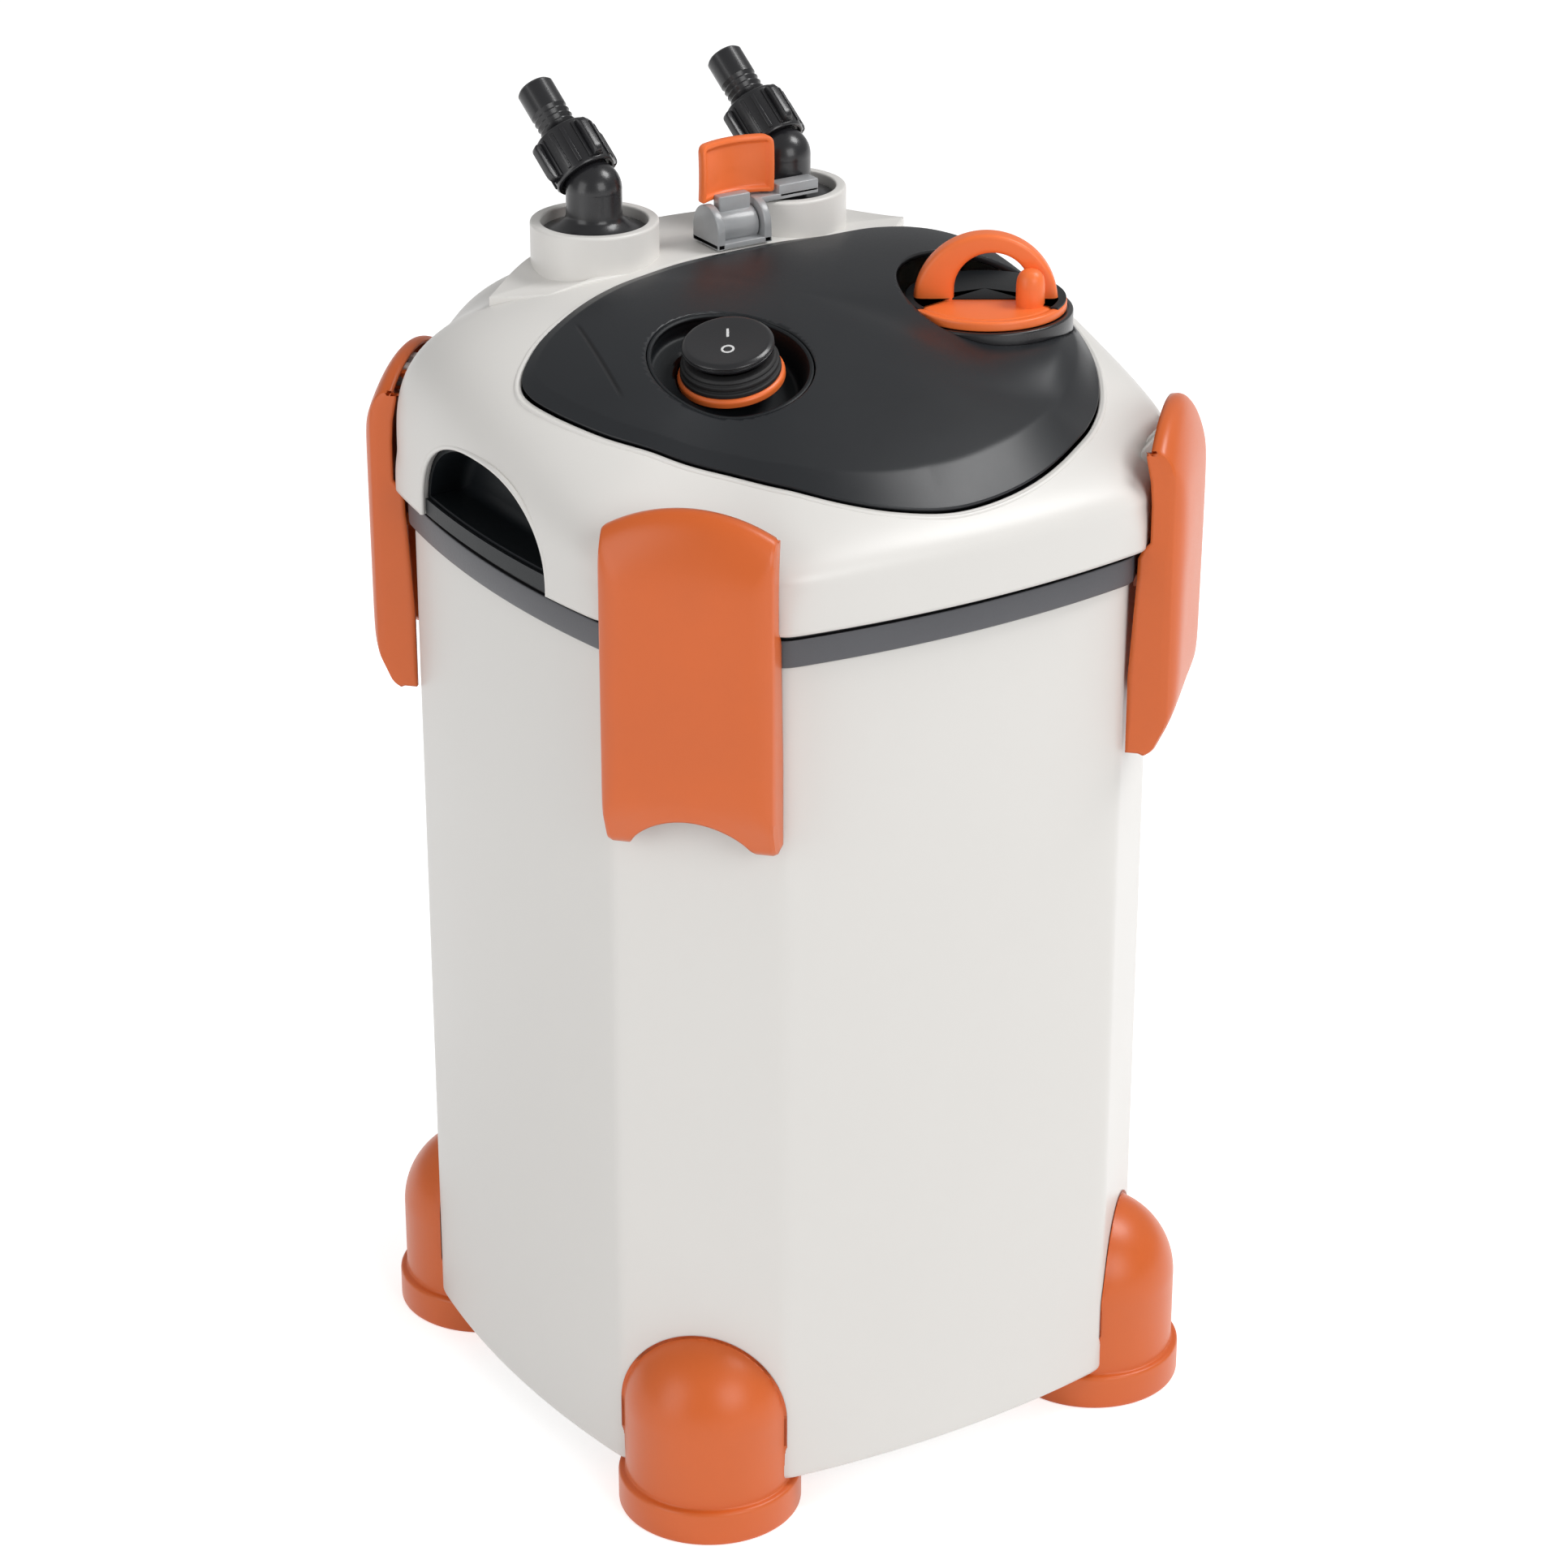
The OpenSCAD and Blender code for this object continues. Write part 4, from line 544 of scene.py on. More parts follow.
trim = {"lipR": 1.1, "lipRise": 0.35, "collarX": 38.6, "collarY": 62.0, "collarTop": 427.5, "collarR": 22.5,
    "collarBore": 18.7, "shelf": 420.9, "shelfBore": 11.2, "deck": 413.9, "droop": 4.0, "deckHalf": 85.0,
    "deckTip": 54.0, "deckBack": 36.0, "deckFront": 38.0, "deckEdge": 39.3}
lipPath = outlineInset(coverOutline[::3], -trim["lipR"])
lipPath = np.column_stack([lipPath, domeHeight(lipPath[:, 0], lipPath[:, 1]) - trim["lipR"]
    + trim["lipRise"]])
headParts = [sheet(tube(lipPath, np.array([[0, 0, 1.0]]), trim["lipR"]), wrapRows=True)]
for s in (-1, 1):
    mouth = gripOutline(0, grip["base"], 120)
    mouth = np.concatenate([[mouth[0] - (0, 1.1)], mouth, [mouth[-1] - (0, 1.1)]])
    mouth = np.column_stack([s*(skinX(mouth[:, 0], mouth[:, 1]) - 0.75), mouth])
    headParts.append(capped(tube(mouth, np.array([[s, 0, 0.001]]), 1.0, loop=False)))
    collar = softCorners([(trim["collarBore"], trim["shelf"]), (trim["collarBore"], trim["collarTop"]),
        (trim["collarR"], trim["collarTop"]), (trim["collarR"], 409), (trim["collarR"] + 3.4, 405),
        (trim["collarR"] + 3.4, 400), (trim["shelfBore"], 400), (trim["shelfBore"], trim["shelf"])],
        [0.4, 0.9, 1.1, 3.5, 0.5, 0.2, 0.2, 0.8], 6, loop=True)
    headParts.append(turnedRing(collar, 128, (s*trim["collarX"], trim["collarY"], 0)))

def deckOutline(count=120):  # lens between two arcs, its front edge kept behind the cover
    x = np.linspace(-trim["deckHalf"], trim["deckHalf"], count)
    def bow(sag):
        r = (trim["deckHalf"]**2 + sag**2)/(2*sag)
        return sag - r + np.sqrt(np.maximum(r*r - x*x, 0))
    front = np.maximum(trim["deckTip"] - bow(trim["deckFront"]), trim["deckEdge"])
    back = trim["deckTip"] + bow(trim["deckBack"])
    return np.concatenate([np.column_stack([x, front]), np.column_stack([x, back])[-2:0:-1]])

deck = plate(deckOutline(), trim["deck"] - 10, trim["deck"], 0.7)
deck[0][:, 2] -= trim["droop"]*smoothStep((abs(deck[0][:, 0]) - 52)/33)  # its tips sink into the dome
headParts.append(deck)
pinAt = {"d": 134.965, "z": 373.5, "earR": 3.4}
arc = np.linspace(0, math.pi, 14)
ear = np.concatenate([np.stack([pinAt["d"] + pinAt["earR"]*np.cos(arc),
    pinAt["z"] + pinAt["earR"]*np.sin(arc)], 1),
                      [(126, 366.5), (126.9, 346.6), (130.6, 346.6)]])
for k in range(4):
    for t in (-8.0, 3.0):
        headParts.append(moved(plate(ear, t, t + 5, 0.5), axes=cornerAxes(k) @ acrossAxes))
piece("headTrim", headParts, "head", whitePlastic)
print("head trim made")

# cover: a plateau with a sloping border that is widest at the front
coverSlope = {"at": [-180, -140, -122, -100, -80, -60, -40, -20, 0, 60, 120, 180],
    "wide": [5, 5, 8, 13, 12.5, 10.5, 8.5, 7, 6, 5, 5, 5], "knee": 0.035}

def coverRise(toEdge, angle, run):
    # rise above the dome at a distance from the edge; run is the distance from the centre
    lean = np.cos(angle + math.radians(55))*(1 - (1 - np.minimum(run/70, 1))**2)
    share = 0.22 + 0.78*((1 + lean)/2)**2
    t = toEdge/np.interp(np.degrees(angle), coverSlope["at"], coverSlope["wide"])
    k = coverSlope["knee"]
    climb = 1 - k*np.log1p(np.exp(np.minimum((1 - t)/k, 50)))
    return cover["edge"] + (cover["lift"] - cover["edge"])*share*climb

def wrapAngle(a):
    return (a + math.pi) % turn - math.pi

def coverTop(x, y):
    dx, dy = x - cover["centre"][0], y - cover["centre"][1]
    a, run = wrapAngle(np.arctan2(dy, dx)), np.hypot(dx, dy)
    return domeHeight(x, y) + coverRise(outlineReach(a, cover["centre"], cover["gap"]) - run, a, run)

bowl = {"at": (-40.0, -27.3, 395.6), "axes": rotX(24), "mouth": 28.2, "floor": -2.2}
well = {"at": (68.0, -23.0, 402.0), "lip": 396.4, "mouth": 31.0, "soft": 1.5, "climb": 30, "edgeFade": 16}
wellFoot = (*well["at"][:2], 0)
a = wrapAngle(np.linspace(0, turn, cover["columns"], endpoint=False))[None]
wide = np.interp(np.degrees(a), coverSlope["at"], coverSlope["wide"])
reach = outlineReach(a[0], cover["centre"], cover["gap"])[None]
q = np.array([0, 0.04, 0.1, 0.2, 0.35, 0.5, 0.65, 0.78, 0.87, 0.93, 0.98, 1.03, 1.08, 1.15, 1.25, 1.4])
inwards = np.linspace(0, 1, 56)[1:-1, None]
s = np.concatenate([q[:, None]*wide, 1.4*wide + (reach - 1.4*wide)*inwards])
x, y = cover["centre"][0] + (reach - s)*np.cos(a), cover["centre"][1] + (reach - s)*np.sin(a)
z = domeHeight(x, y) + coverRise(s, a + 0*s, reach - s)
rho = np.hypot(x - well["at"][0], y - well["at"][1])  # the cover climbs to the well's mouth
climb = well["soft"]*np.log1p(np.exp((well["lip"] - z)/well["soft"]))
z = z + climb*(1 - smoothStep((rho - well["mouth"])/well["climb"]))*smoothStep(s/well["edgeFade"])
top = np.stack([x, y, z], 2)

def roundMouth(grid, at, axes, r):
    # signed distance outside a cylinder; points within 0.25 of it are drawn onto it
    local = (grid - np.asarray(at)) @ axes
    rho = np.hypot(local[..., 0], local[..., 1])
    near = np.abs(rho - r) < 0.25
    local[..., :2] *= np.where(near, r/np.maximum(rho, 1e-6), 1)[..., None]
    return local @ axes.T + np.asarray(at), np.where(near, 0.0, rho - r)

top, cutA = roundMouth(top, bowl["at"], bowl["axes"], bowl["mouth"])
top, cutB = roundMouth(top, well["at"], np.eye(3), well["mouth"])

def coverFinish():  # grained charcoal with a fine scored line across the left tip, darkened as painted shade in its groove
    net = Net("coverCharcoal")
    clouds, fine = net.noise(26, 4, 0.6), net.noise(1300, 2, 0.6)
    x, y = net.axis("X"), net.axis("Y")
    line = x - y*0.15
    across = line.over(-0.0784, -0.0771) - line.over(-0.0771, -0.0758)
    score = across*y.over(-0.032, -0.024)*(1.0 - y.over(0.006, 0.012))
    tone = net.mix(clouds, (0.013, 0.0145, 0.017), (0.018, 0.020, 0.023))
    # painted shade: the scored groove is darkened to near black
    tone = net.mix(score*0.85, tone, (0.004, 0.004, 0.005))
    height = fine*0.02 - score
    return net.shine(Base_Color=tone, Roughness=0.36 + (clouds - 0.5)*0.08 + (fine - 0.5)*0.1,
                     Normal=net.bump(height, 0.55, 0.0008), Specular_IOR_Level=0.4)

piece("coverPlate", [openSheet(top, np.minimum(cutA, cutB), capLast=True)], "head", coverFinish(),
    ["top_cover"],
      wall=cover["wall"], crease=50)
print("cover made")

# finger grips: black pockets behind the mouths, darkened further with painted shade
pocket = {"base": 5.6, "inset": 0.3, "wall": 1.8, "depth": 101.0}

def gripPocket(side):
    ring = gripOutline(pocket["inset"], grip["base"], 120)
    ring[:, 1] = np.maximum(ring[:, 1], body["rim"] + pocket["base"])
    base = between(ring[-1], ring[0], 30)[1:-1]
    ring = np.concatenate([ring, base])
    w = pocket["wall"]
    bend = np.linspace(0, math.pi/2, 6)
    steps = np.concatenate([[(6, 1), (0.6, 1), (0, 0.97), (0, 0), (w, 0), (w, 0.65)],
        np.stack([w + 4*(1 - np.cos(bend)), 0.72 + 0.19*np.sin(bend)], 1), [(10, 0.915)]])
    p = ringStack(ring, steps)
    front = skinX(p[..., 0], p[..., 1]) - 3.2
    x0 = front + (pocket["depth"] - front)*p[..., 2]
    y, z = np.linspace(-42.6, 42.6, 60)[None], np.array([340.7, 346.4, 346.4, 340.7])[:, None]
    x = skinX(y, z) - np.array([1.7, 1.7, 2.7, 2.7])[:, None]
    sill = capped(np.stack([side*x, y + 0*z, z + 0*y], 2).transpose(1, 0, 2))
    return [capped(np.stack([side*x0, p[..., 0], p[..., 1]], 2)), sill]

for side, where in ((-1, "left"), (1, "right")):
    piece("gripPocket_" + where, gripPocket(side), "head", pitShadeBlack, ["grip_" + where])

# recess round the switch: floor, fillet, wall and a rolled rim that follows the cover
sw = {"at": (-37.2, -26.6, 395.6), "axes": rotZ(-50) @ rotX(16), "sealR": 18.2, "rocker": 11.6,
    "rockerH": 3.4}

def switchBowl():
    a = np.linspace(0, turn, 160, endpoint=False)
    ring = np.stack([np.cos(a), np.sin(a), 0*a], 1)
    rim = np.full(160, 8.0)
    for _ in range(10):  # height at which the wall meets the cover
        p = placed(ring*27.0 + np.stack([0*a, 0*a, rim], 1), bowl["at"], bowl["axes"])
        rim = rim + (coverTop(p[:, 0], p[:, 1]) - 0.25 - p[:, 2])
    f = bowl["floor"]
    low = np.concatenate([np.stack([np.linspace(1, 22, 26), np.full(26, f)], 1),
        softCorners([(22, f), (26.2, f), (26.2, f + 6)], [0, 3.5, 0], 8)[1:]])
    rows = [np.stack([r*np.cos(a), r*np.sin(a), np.full(160, z)], 1) for r, z in low]
    for r, drop in ((26.2, 2.0), (26.2, 1.0), (26.35, 0.4), (26.8, 0.08), (27.3, 0.0), (27.75, 0.2),
        (27.9, 0.7), (27.9, 6.0)):
        rows.append(np.stack([r*np.cos(a), r*np.sin(a), rim - drop], 1))
    p = placed(np.stack(rows), bowl["at"], bowl["axes"])
    # the floor dips under the switch's seal
    local = (p - np.asarray(sw["at"])) @ sw["axes"]
    under = smoothStep((sw["sealR"] + 0.9 - np.hypot(local[..., 0], local[..., 1]))/0.6)
    local[..., 2] = local[..., 2] + (np.minimum(local[..., 2], -0.4) - local[..., 2])*under
    return sheet(local @ sw["axes"].T + np.asarray(sw["at"]), capFirst=True, flip=False)

piece("switchBowl", [switchBowl()], "head", pitShadeBlack, ["switch_housing"])
sealRing = softCorners([(11.6, 0.02), (18.2, 0.02), (18.2, 2.1), (17.3, 3.0), (11.6, 3.0)],
    [0.1, 0.4, 0.5, 0.7, 0.1], 5, loop=True)
piece("sealRing", [turnedRing(sealRing, 128, sw["at"], sw["axes"])], "head", brightOrange, ["switch_seal"])
bootSteps = softCorners([(12.6, 3.02), (17.1, 3.02), (17.1, 4.6), (16.0, 4.9), (16.0, 5.5), (16.7, 5.8),
    (16.7, 7.1), (15.8, 7.4), (15.8, 7.9), (16.1, 8.2), (15.4, 9.2), (12.6, 9.2)],
    [0.1, 0.3, 0.4, 0.2, 0.2, 0.4, 0.4, 0.2, 0.2, 0.3, 0.4, 0.1], 4, loop=True)
piece("rockerBoot", [turnedRing(bootSteps, 128, sw["at"], sw["axes"])], "head", softRubber, ["switch_boot"])

z0, z1 = sw["rocker"], sw["rocker"] + sw["rockerH"]
capProfile = softCorners([(0.4, z0), (15.0, z0), (15.5, z0 + 0.5), (15.5, z0 + 1.3), (15.1, z0 + 1.45),
    (15.1, z0 + 1.75), (15.5, z0 + 1.9), (15.5, z1 - 1.0), (14.2, z1), (11.0, z1 - 0.15), (6, z1 - 0.42),
    (0.4, z1 - 0.5)], [0, 0.3, 0.3, 0.1, 0.1, 0.1, 0.2, 0.5, 0.6, 2, 3, 0], 5)
rockerParts = [turnedSolid(capProfile, 128),
               plate(softRect(-8.4, 8.4, -5, 5, 1.0, 4), 4, z0 + 0.5, 0.4),
               turnedSolid(softCorners([(0.2, -10.4), (1.8, -10.4), (1.8, 10.4), (0.2, 10.4)],
               [0, 0.3, 0.3, 0], 3), 40, (0, 0, 4), alongX)]
piece("rockerCap", [moved(p, sw["at"], sw["axes"]) for p in rockerParts], "rocker_button", blackPlastic,
    ["rocker"])
marks = {"high": 0.12, "turn": 18.0, "barAt": (0.0, 5.2), "ringAt": (0.0, -4.4)}
markTop = z1 - 0.42 + marks["high"]
bar = plate(softRect(-0.45, 0.45, -2.4, 2.4, 0.25, 4), markTop - 0.3, markTop, 0.08, 2)
ringMark = turnedRing(softRect(1.5, 2.3, markTop - 0.3, markTop, 0.08, 3), 64)
markAxes = sw["axes"] @ rotZ(marks["turn"])
marked = ((bar, marks["barAt"]), (ringMark, marks["ringAt"]))
markParts = [moved(moved(p, (*at, 0)), sw["at"], markAxes) for p, at in marked]
piece("rockerMarks", markParts, "rocker_button", markWhite)
print("switch made")

# pre-filter: well, cap with its arched handle
wellProfile = softCorners([(25, 347.3), (25, 400.6), (28.8, 400.6), (28.8, 401), (30.5, 401), (30.5, 393),
    (27, 393), (27, 345.3), (10.7, 345.3), (10.7, 347.3)], [0.3, 0.3, 0.1, 0.1, 0.8, 0.5, 0.5, 0.4, 0.2, 0.2],
    5, loop=True)
piece("filterWell", [turnedRing(wellProfile, 128, wellFoot)], "head", blackPlastic, ["prefilter_well"])
capDisc = softCorners([(0.3, 404.3), (24.2, 404.3), (25.0, 403.9), (26.2, 404.3), (28.2, 404.3),
    (28.2, 401.1), (24.6, 401.1), (24.6, 398), (22.4, 398), (22.4, 395), (24.6, 395), (24.6, 390),
    (21.6, 390), (21.6, 400), (0.3, 400)], [0, 0.4, 0.4, 0.4, 0.9, 0.5, 0.3, 0.3, 0.2, 0.2, 0.3, 0.5, 0.3,
    1.0, 0], 4)
handle = {"turn": -32.0, "outerR": 25.0, "outerZ": 402.7, "innerR": 13.0, "innerX": 2.0, "innerZ": 407.9,
    "legL": -11.0, "legR": 15.0, "halfThick": 4.0, "foot": 401.6, "boxiness": 0.42}

def archBand():  # soft rectangular section between an outer and an inner arc
    a = np.linspace(0, math.pi, 90)
    outer = np.stack([handle["outerR"]*np.cos(a), handle["outerZ"] + handle["outerR"]*np.sin(a)], 1)
    inner = np.stack([handle["innerX"] + handle["innerR"]*np.cos(a),
        handle["innerZ"] + handle["innerR"]*np.sin(a)], 1)
    outer = np.concatenate([[(handle["outerR"], handle["foot"])], outer,
        [(-handle["outerR"], handle["foot"])]])
    inner = np.concatenate([[(handle["legR"], handle["foot"])], inner, [(handle["legL"], handle["foot"])]])
    mid, half = (outer + inner)/2, (outer - inner)/2
    f = np.linspace(0, turn, 48, endpoint=False)
    c, s = (np.sign(v)*np.abs(v)**handle["boxiness"] for v in (np.cos(f), np.sin(f)))
    xz = mid[:, None] + half[:, None]*c[None, :, None]
    return capped(np.stack([xz[..., 0], handle["halfThick"]*s[None]*np.ones((len(mid), 1)), xz[..., 1]], 2))

knob = softCorners([(0.3, 403.4), (5, 403.4), (5, 412), (4.4, 414.8), (2.6, 416.6), (0.3, 417.0)],
    [0, 0.4, 1.6, 1.4, 1.2, 0], 6)
handleAxes = rotZ(handle["turn"])
capParts = [turnedSolid(capDisc, 128, wellFoot), moved(archBand(), wellFoot, handleAxes),
            moved(turnedSolid(knob, 48, (15, -8, 0)), wellFoot, handleAxes)]
piece("filterCap", capParts, "cartridge_cap", brightOrange, ["prefilter_cap"])
# black shade on the disc: everything behind the arch's front face, and the rim beside its feet
a = np.linspace(math.radians(-30), math.radians(210), 90)
b = np.linspace(math.radians(210), math.radians(187.4), 10)
shadeOutline = np.concatenate([27.9*np.column_stack([np.cos(a), np.sin(a)]),
    25.1*np.column_stack([np.cos(b), np.sin(b)]),
                               25.1*np.column_stack([-np.cos(b), np.sin(b)])[::-1]])
piece("capShade", [moved(plate(shadeOutline, 404.0, 404.9, 0.2), wellFoot, handleAxes)], "cartridge_cap",
    pitShadeBlack)
print("pre-filter made")

# corner clips: one skin from the notch at the bottom to the rolled lip at the top
clip = {"half": 27.2, "bottom": 264.5, "front": 18.2, "archR": 54.0, "notchR": 25.0, "notchZ": 251.5,
    "wall": 1.8, "shoulder": 2.8, "bow": 1.4, "blend": 0.7}
clipSide = softCorners([(6.6, 264.5), (9.2, 266.4), (15.0, 278.5), (16.6, 285.5), (18.0, 343), (18.0, 354),
    (17.0, 363.5), (14.8, 372), (12, 378.2), (9.4, 380.9), (6.7, 380.5)],
    [0, 1.5, 5, 8, 14, 5, 5, 4, 3.0, 1.2, 0], 8)

def clipFront(t):  # plan of the clip: flat front with rounded shoulders
    t = t/clip["half"]
    return clip["front"] - clip["shoulder"]*np.abs(t)**9 - clip["bow"]*t**2

def clipBack(z):  # where the side faces stop, clear of the canister, the band and the head
    return np.interp(z, [322, 326, 338, 342, 356, 364, 372, 380], [1.2, 3.2, 3.4, 7.4, 7.4, 6.8, 5.2, 4.4])

def clipSkin():
    t = clip["half"]*np.sin(np.linspace(-math.pi/2, math.pi/2, 73))
    d0, z0 = clipSide[:, :1], clipSide[:, 1:]
    drop = clip["archR"] - np.sqrt(clip["archR"]**2 - t*t)
    z = z0 - drop*smoothStep((z0 - 348)/26)
    notch = np.maximum(clip["bottom"], clip["notchZ"] + np.sqrt(np.maximum(clip["notchR"]**2 - t*t, 0)))
    lowPart = z0 < 300
    z = np.where(lowPart, notch + (z0 - clip["bottom"])*(300 - notch)/(300 - clip["bottom"]), z)
    rising = clipSide[:, 1] < 340
    d = np.where(lowPart, np.interp(z, clipSide[rising, 1], clipSide[rising, 0]), d0)
    w = clip["blend"]
    front = clipFront(t) + 0*d
    d = -w*np.logaddexp(-d/w, -front/w)
    share = np.linspace(0, 1, 7)[:-1]
    rows = []
    for side in (0, -1):
        back = np.minimum(clipBack(z[:, side]), d[:, side] - 1.7)
        cut = back[:, None] + (d[:, side] - back)[:, None]*share
        rows.append(np.stack([cut, np.full(cut.shape, t[side]), z[:, side][:, None] + 0*cut], 2))
    middle = np.stack([d, t + 0*d, z], 2)
    return np.concatenate([rows[0], middle, rows[1][:, ::-1]], 1)

clipGrid = clipSkin() + np.array([body["chamfer"], 0, 0])
c0 = body["chamfer"]
knuckle = softCorners([(pinAt["d"] - 2.8, 370.3), (pinAt["d"] + 3.2, 370.3), (c0 + 14.6, 366.8),
    (c0 + 14.4, 371), (c0 + 9, 376.5), (pinAt["d"] - 2.8, 376.5)], [1.2, 1.2, 0.6, 0.6, 0.6, 0.6], 5,
    loop=True)
t = np.linspace(-20, 20, 21)
hookPlan = np.concatenate([[(0.9, -20)], np.column_stack([clipFront(t) - 1.6, t]), [(0.9, 20)]]) + [c0, 0]
for k, where in enumerate(corners):
    short = where[0] + where.split("_")[1][0]
    skin = piece("clipSkin_" + short, [moved(sheet(clipGrid, wrapCols=False, flip=True), axes=cornerAxes(k))],
        "clip_" + short, clipOrange,
                 ["clip_" + where], crease=60, wall=clip["wall"])
    inner = [moved(plate(knuckle, s*11.5 - 2, s*11.5 + 2, 0.4), axes=cornerAxes(k) @ acrossAxes)
        for s in (-1, 1)]
    inner.append(moved(plate(hookPlan, 322.3, 327.1, 0.5), axes=cornerAxes(k)))
    piece("clipCatch_" + short, inner, "clip_" + short, clipOrange)
print("clips made")

# hose connectors: barrel, ball, leaning stub, finned nut and barbed tail
leaning = rotZ(7) @ rotX(-50)  # a swivelled connector's hose direction is its z

def ridge(points, half, r, angleDeg):  # a plate standing on a cylinder, half its thickness each way
    return moved(plate(points, -half, half, r), axes=rotZ(angleDeg) @ acrossAxes)

barrel = softCorners([(6, 401.4), (10.7, 401.4), (10.7, 421.3), (18.3, 421.3), (18.3, 423.8), (12.8, 425.8),
    (9.8, 428.4), (9.8, 438.5), (6, 438.5)], [0.2, 0.4, 0.2, 0.3, 0.6, 1.5, 1.6, 0.0, 0.0], 5, loop=True)
arc = np.linspace(-math.pi/2*0.97, math.pi/2*0.985, 36)
ball = np.column_stack([9.82*np.cos(arc), 9.82*np.sin(arc)])
stub = softRect(6, 8.2, 5, 14, [0, 0.2, 0.3, 0.3], 4)
stub = np.concatenate([[(0.4, 0), (8.2, 0)], stub[4:-3], [(6, 4), (0.4, 4)]])
nutBody = softCorners([(6.95, 9.2), (6.95, 23), (10.2, 23), (11, 22.2), (11, 5.8), (10.6, 5), (9.7, 5),
    (9.7, 6.2), (8.3, 6.2), (8.3, 9.2)], [0.2, 0.4, 0.4, 0.4, 0.4, 0.3, 0.3, 0.2, 0.2, 0.1], 4, loop=True)
rib = {"count": 4, "first": 24.0, "pitch": 2.25, "r": 6.7, "root": 5.85, "bore": 4.8}
barbs = [(rib["bore"], 14.2), (8.15, 14.2), (8.15, 20.1), (6.7, 20.3)]
for k in range(rib["count"]):
    z = rib["first"] + k*rib["pitch"]
    barbs += [(rib["r"], z), (rib["root"], z + 0.12), (rib["root"], z + rib["pitch"]*0.4)]
barbs += [(rib["r"], 33.0), (rib["r"], 43.2), (rib["r"] - 0.7, 44.0), (rib["bore"] + 0.3, 44.0),
    (rib["bore"], 43.6)]
wing = softCorners([(10.4, 6.2), (13.2, 6.2), (14.4, 8), (14.4, 19.6), (13.4, 21), (10.4, 21)],
    [0.1, 1, 1.5, 0.8, 0.8, 0.1], 4, loop=True)
smallRib = softCorners([(10.4, 6.2), (11.6, 6.6), (11.6, 21.0), (10.4, 21.4)], 0.4, 3, loop=True)
seat = np.array([trim["collarX"], trim["collarY"], 438.5])
for s, where in ((1, "inlet"), (-1, "outlet")):
    at = seat*[s, 1, 1]
    parts = [turnedRing(barrel, at=(at[0], at[1], 0)), turnedSolid(ball, at=at),
        turnedSolid(stub, at=at, axes=leaning)]
    piece("elbow_" + where + "_body", parts, where + "_connector", blackPlastic, ["elbow_" + where])
    piece("tail_" + where + "_barbed", [turnedRing(np.array(barbs), at=at, axes=leaning)],
        where + "_connector", blackPlastic,
          ["tail_" + where], crease=30)
    parts = [turnedRing(nutBody)]
    parts += [ridge(wing, 1.6, 0.5, 90*k) for k in range(4)]
    parts += [ridge(smallRib, 0.7, 0.25, 22.5*k + 11.25) for k in range(16)]
    piece("nut_" + where + "_finned", [moved(p, at, leaning) for p in parts], where + "_nut", blackPlastic,
        ["nut_" + where])
print("connectors made")

# shut-off lever: dished thumb plate on a hub between two clear cheeks
lever = {"x": 8.0, "y": 46.5, "z": 422.0, "plateX": 10.4, "wide": 29.2, "high": 20.5, "foot": 431.0,
    "bendY": 23.5, "bendR": 26.5, "saddle": 0.5}

def thumbPlate():
    w, h, r = lever["wide"]/2, lever["high"], 3.2
    outline = softRect(-w, w, 0, h, [1.2, 1.2, r, r], 9)
    pairs = zip(outline, np.roll(outline, -1, 0))  # long straight runs are divided
    corner = np.concatenate([between(p, q, 12)[:-1] if np.hypot(*(q - p)) > 3 else p[None] for p, q in pairs])
    steps = [(3.0, 1.0), (2.6, 0.95), (2.1, 0.55), (1.8, 0.15), (1.5, 0.0), (0.8, 0.0), (0.25, 0.2),
        (0.0, 0.7), (0.0, 2.8), (0.2, 3.3), (0.7, 3.5), (3.0, 3.5)]
    rings = ringStack(corner, steps)
    middle = np.array([0, h/2])
    def shrunk(ring, k, depth):
        return np.column_stack([middle + (ring[:, :2] - middle)*k, np.full(len(ring), depth)])
    front = [shrunk(rings[0], k, 1.0 + 0.25*(1 - k)) for k in (0.15, 0.35, 0.55, 0.75, 0.9)]
    back = [shrunk(rings[-1], k, 3.5) for k in (0.9, 0.7, 0.45, 0.15)]
    p = np.concatenate([front, rings, back])
    u, v, n = p[..., 0], p[..., 1], p[..., 2]
    reach = lever["bendR"] + n
    y = lever["bendY"] + np.sqrt(reach**2 - u*u) - lever["saddle"]*(1 - ((v - h/2)/(h/2))**2)
    return capped(np.stack([lever["plateX"] + u, y, lever["foot"] + v], 2))

hub = softRect(2.05, 6, -7.4, 7.4, [0.1, 0.5, 0.5, 0.1], 4)
neck = softRect(1.6, 14.4, 44.6, 49, 0.8, 4)
piece("leverPaddle", [thumbPlate()], "shutoff_lever", brightOrange, ["lever"])
piece("leverHub", [turnedRing(hub, 64, (lever["x"], lever["y"], lever["z"]), alongX),
    plate(neck, 425, 433, 0.5)],
      "shutoff_lever", cheekPlastic)
bend = np.linspace(0, math.pi, 40)
cheek = np.concatenate([np.column_stack([lever["y"] + 8.5*np.cos(bend), lever["z"] + 8.5*np.sin(bend)]),
    [(38, 421), (38, 416.2), (55, 416.2), (55, 421)]])
cheeks = [moved(plate(cheek, low, low + 3, 0.4), axes=yzAxes) for low in (-3.0, 16.0)]
cheeks += [plate(softRect(-3, 19, 38, 55, 0.5, 3), 416.1, 418.2, 0.4),
    plate(softRect(17, 42.5, 44.5, 51.5, 0.8, 3), 428.3, 430.4, 0.3),
           plate(softRect(26, 42.5, 44.5, 51.5, 0.8, 3), 429, 433.5, 0.5)]
piece("leverCheeks", cheeks, "head", cheekPlastic, ["lever_bracket"])
print("lever made")

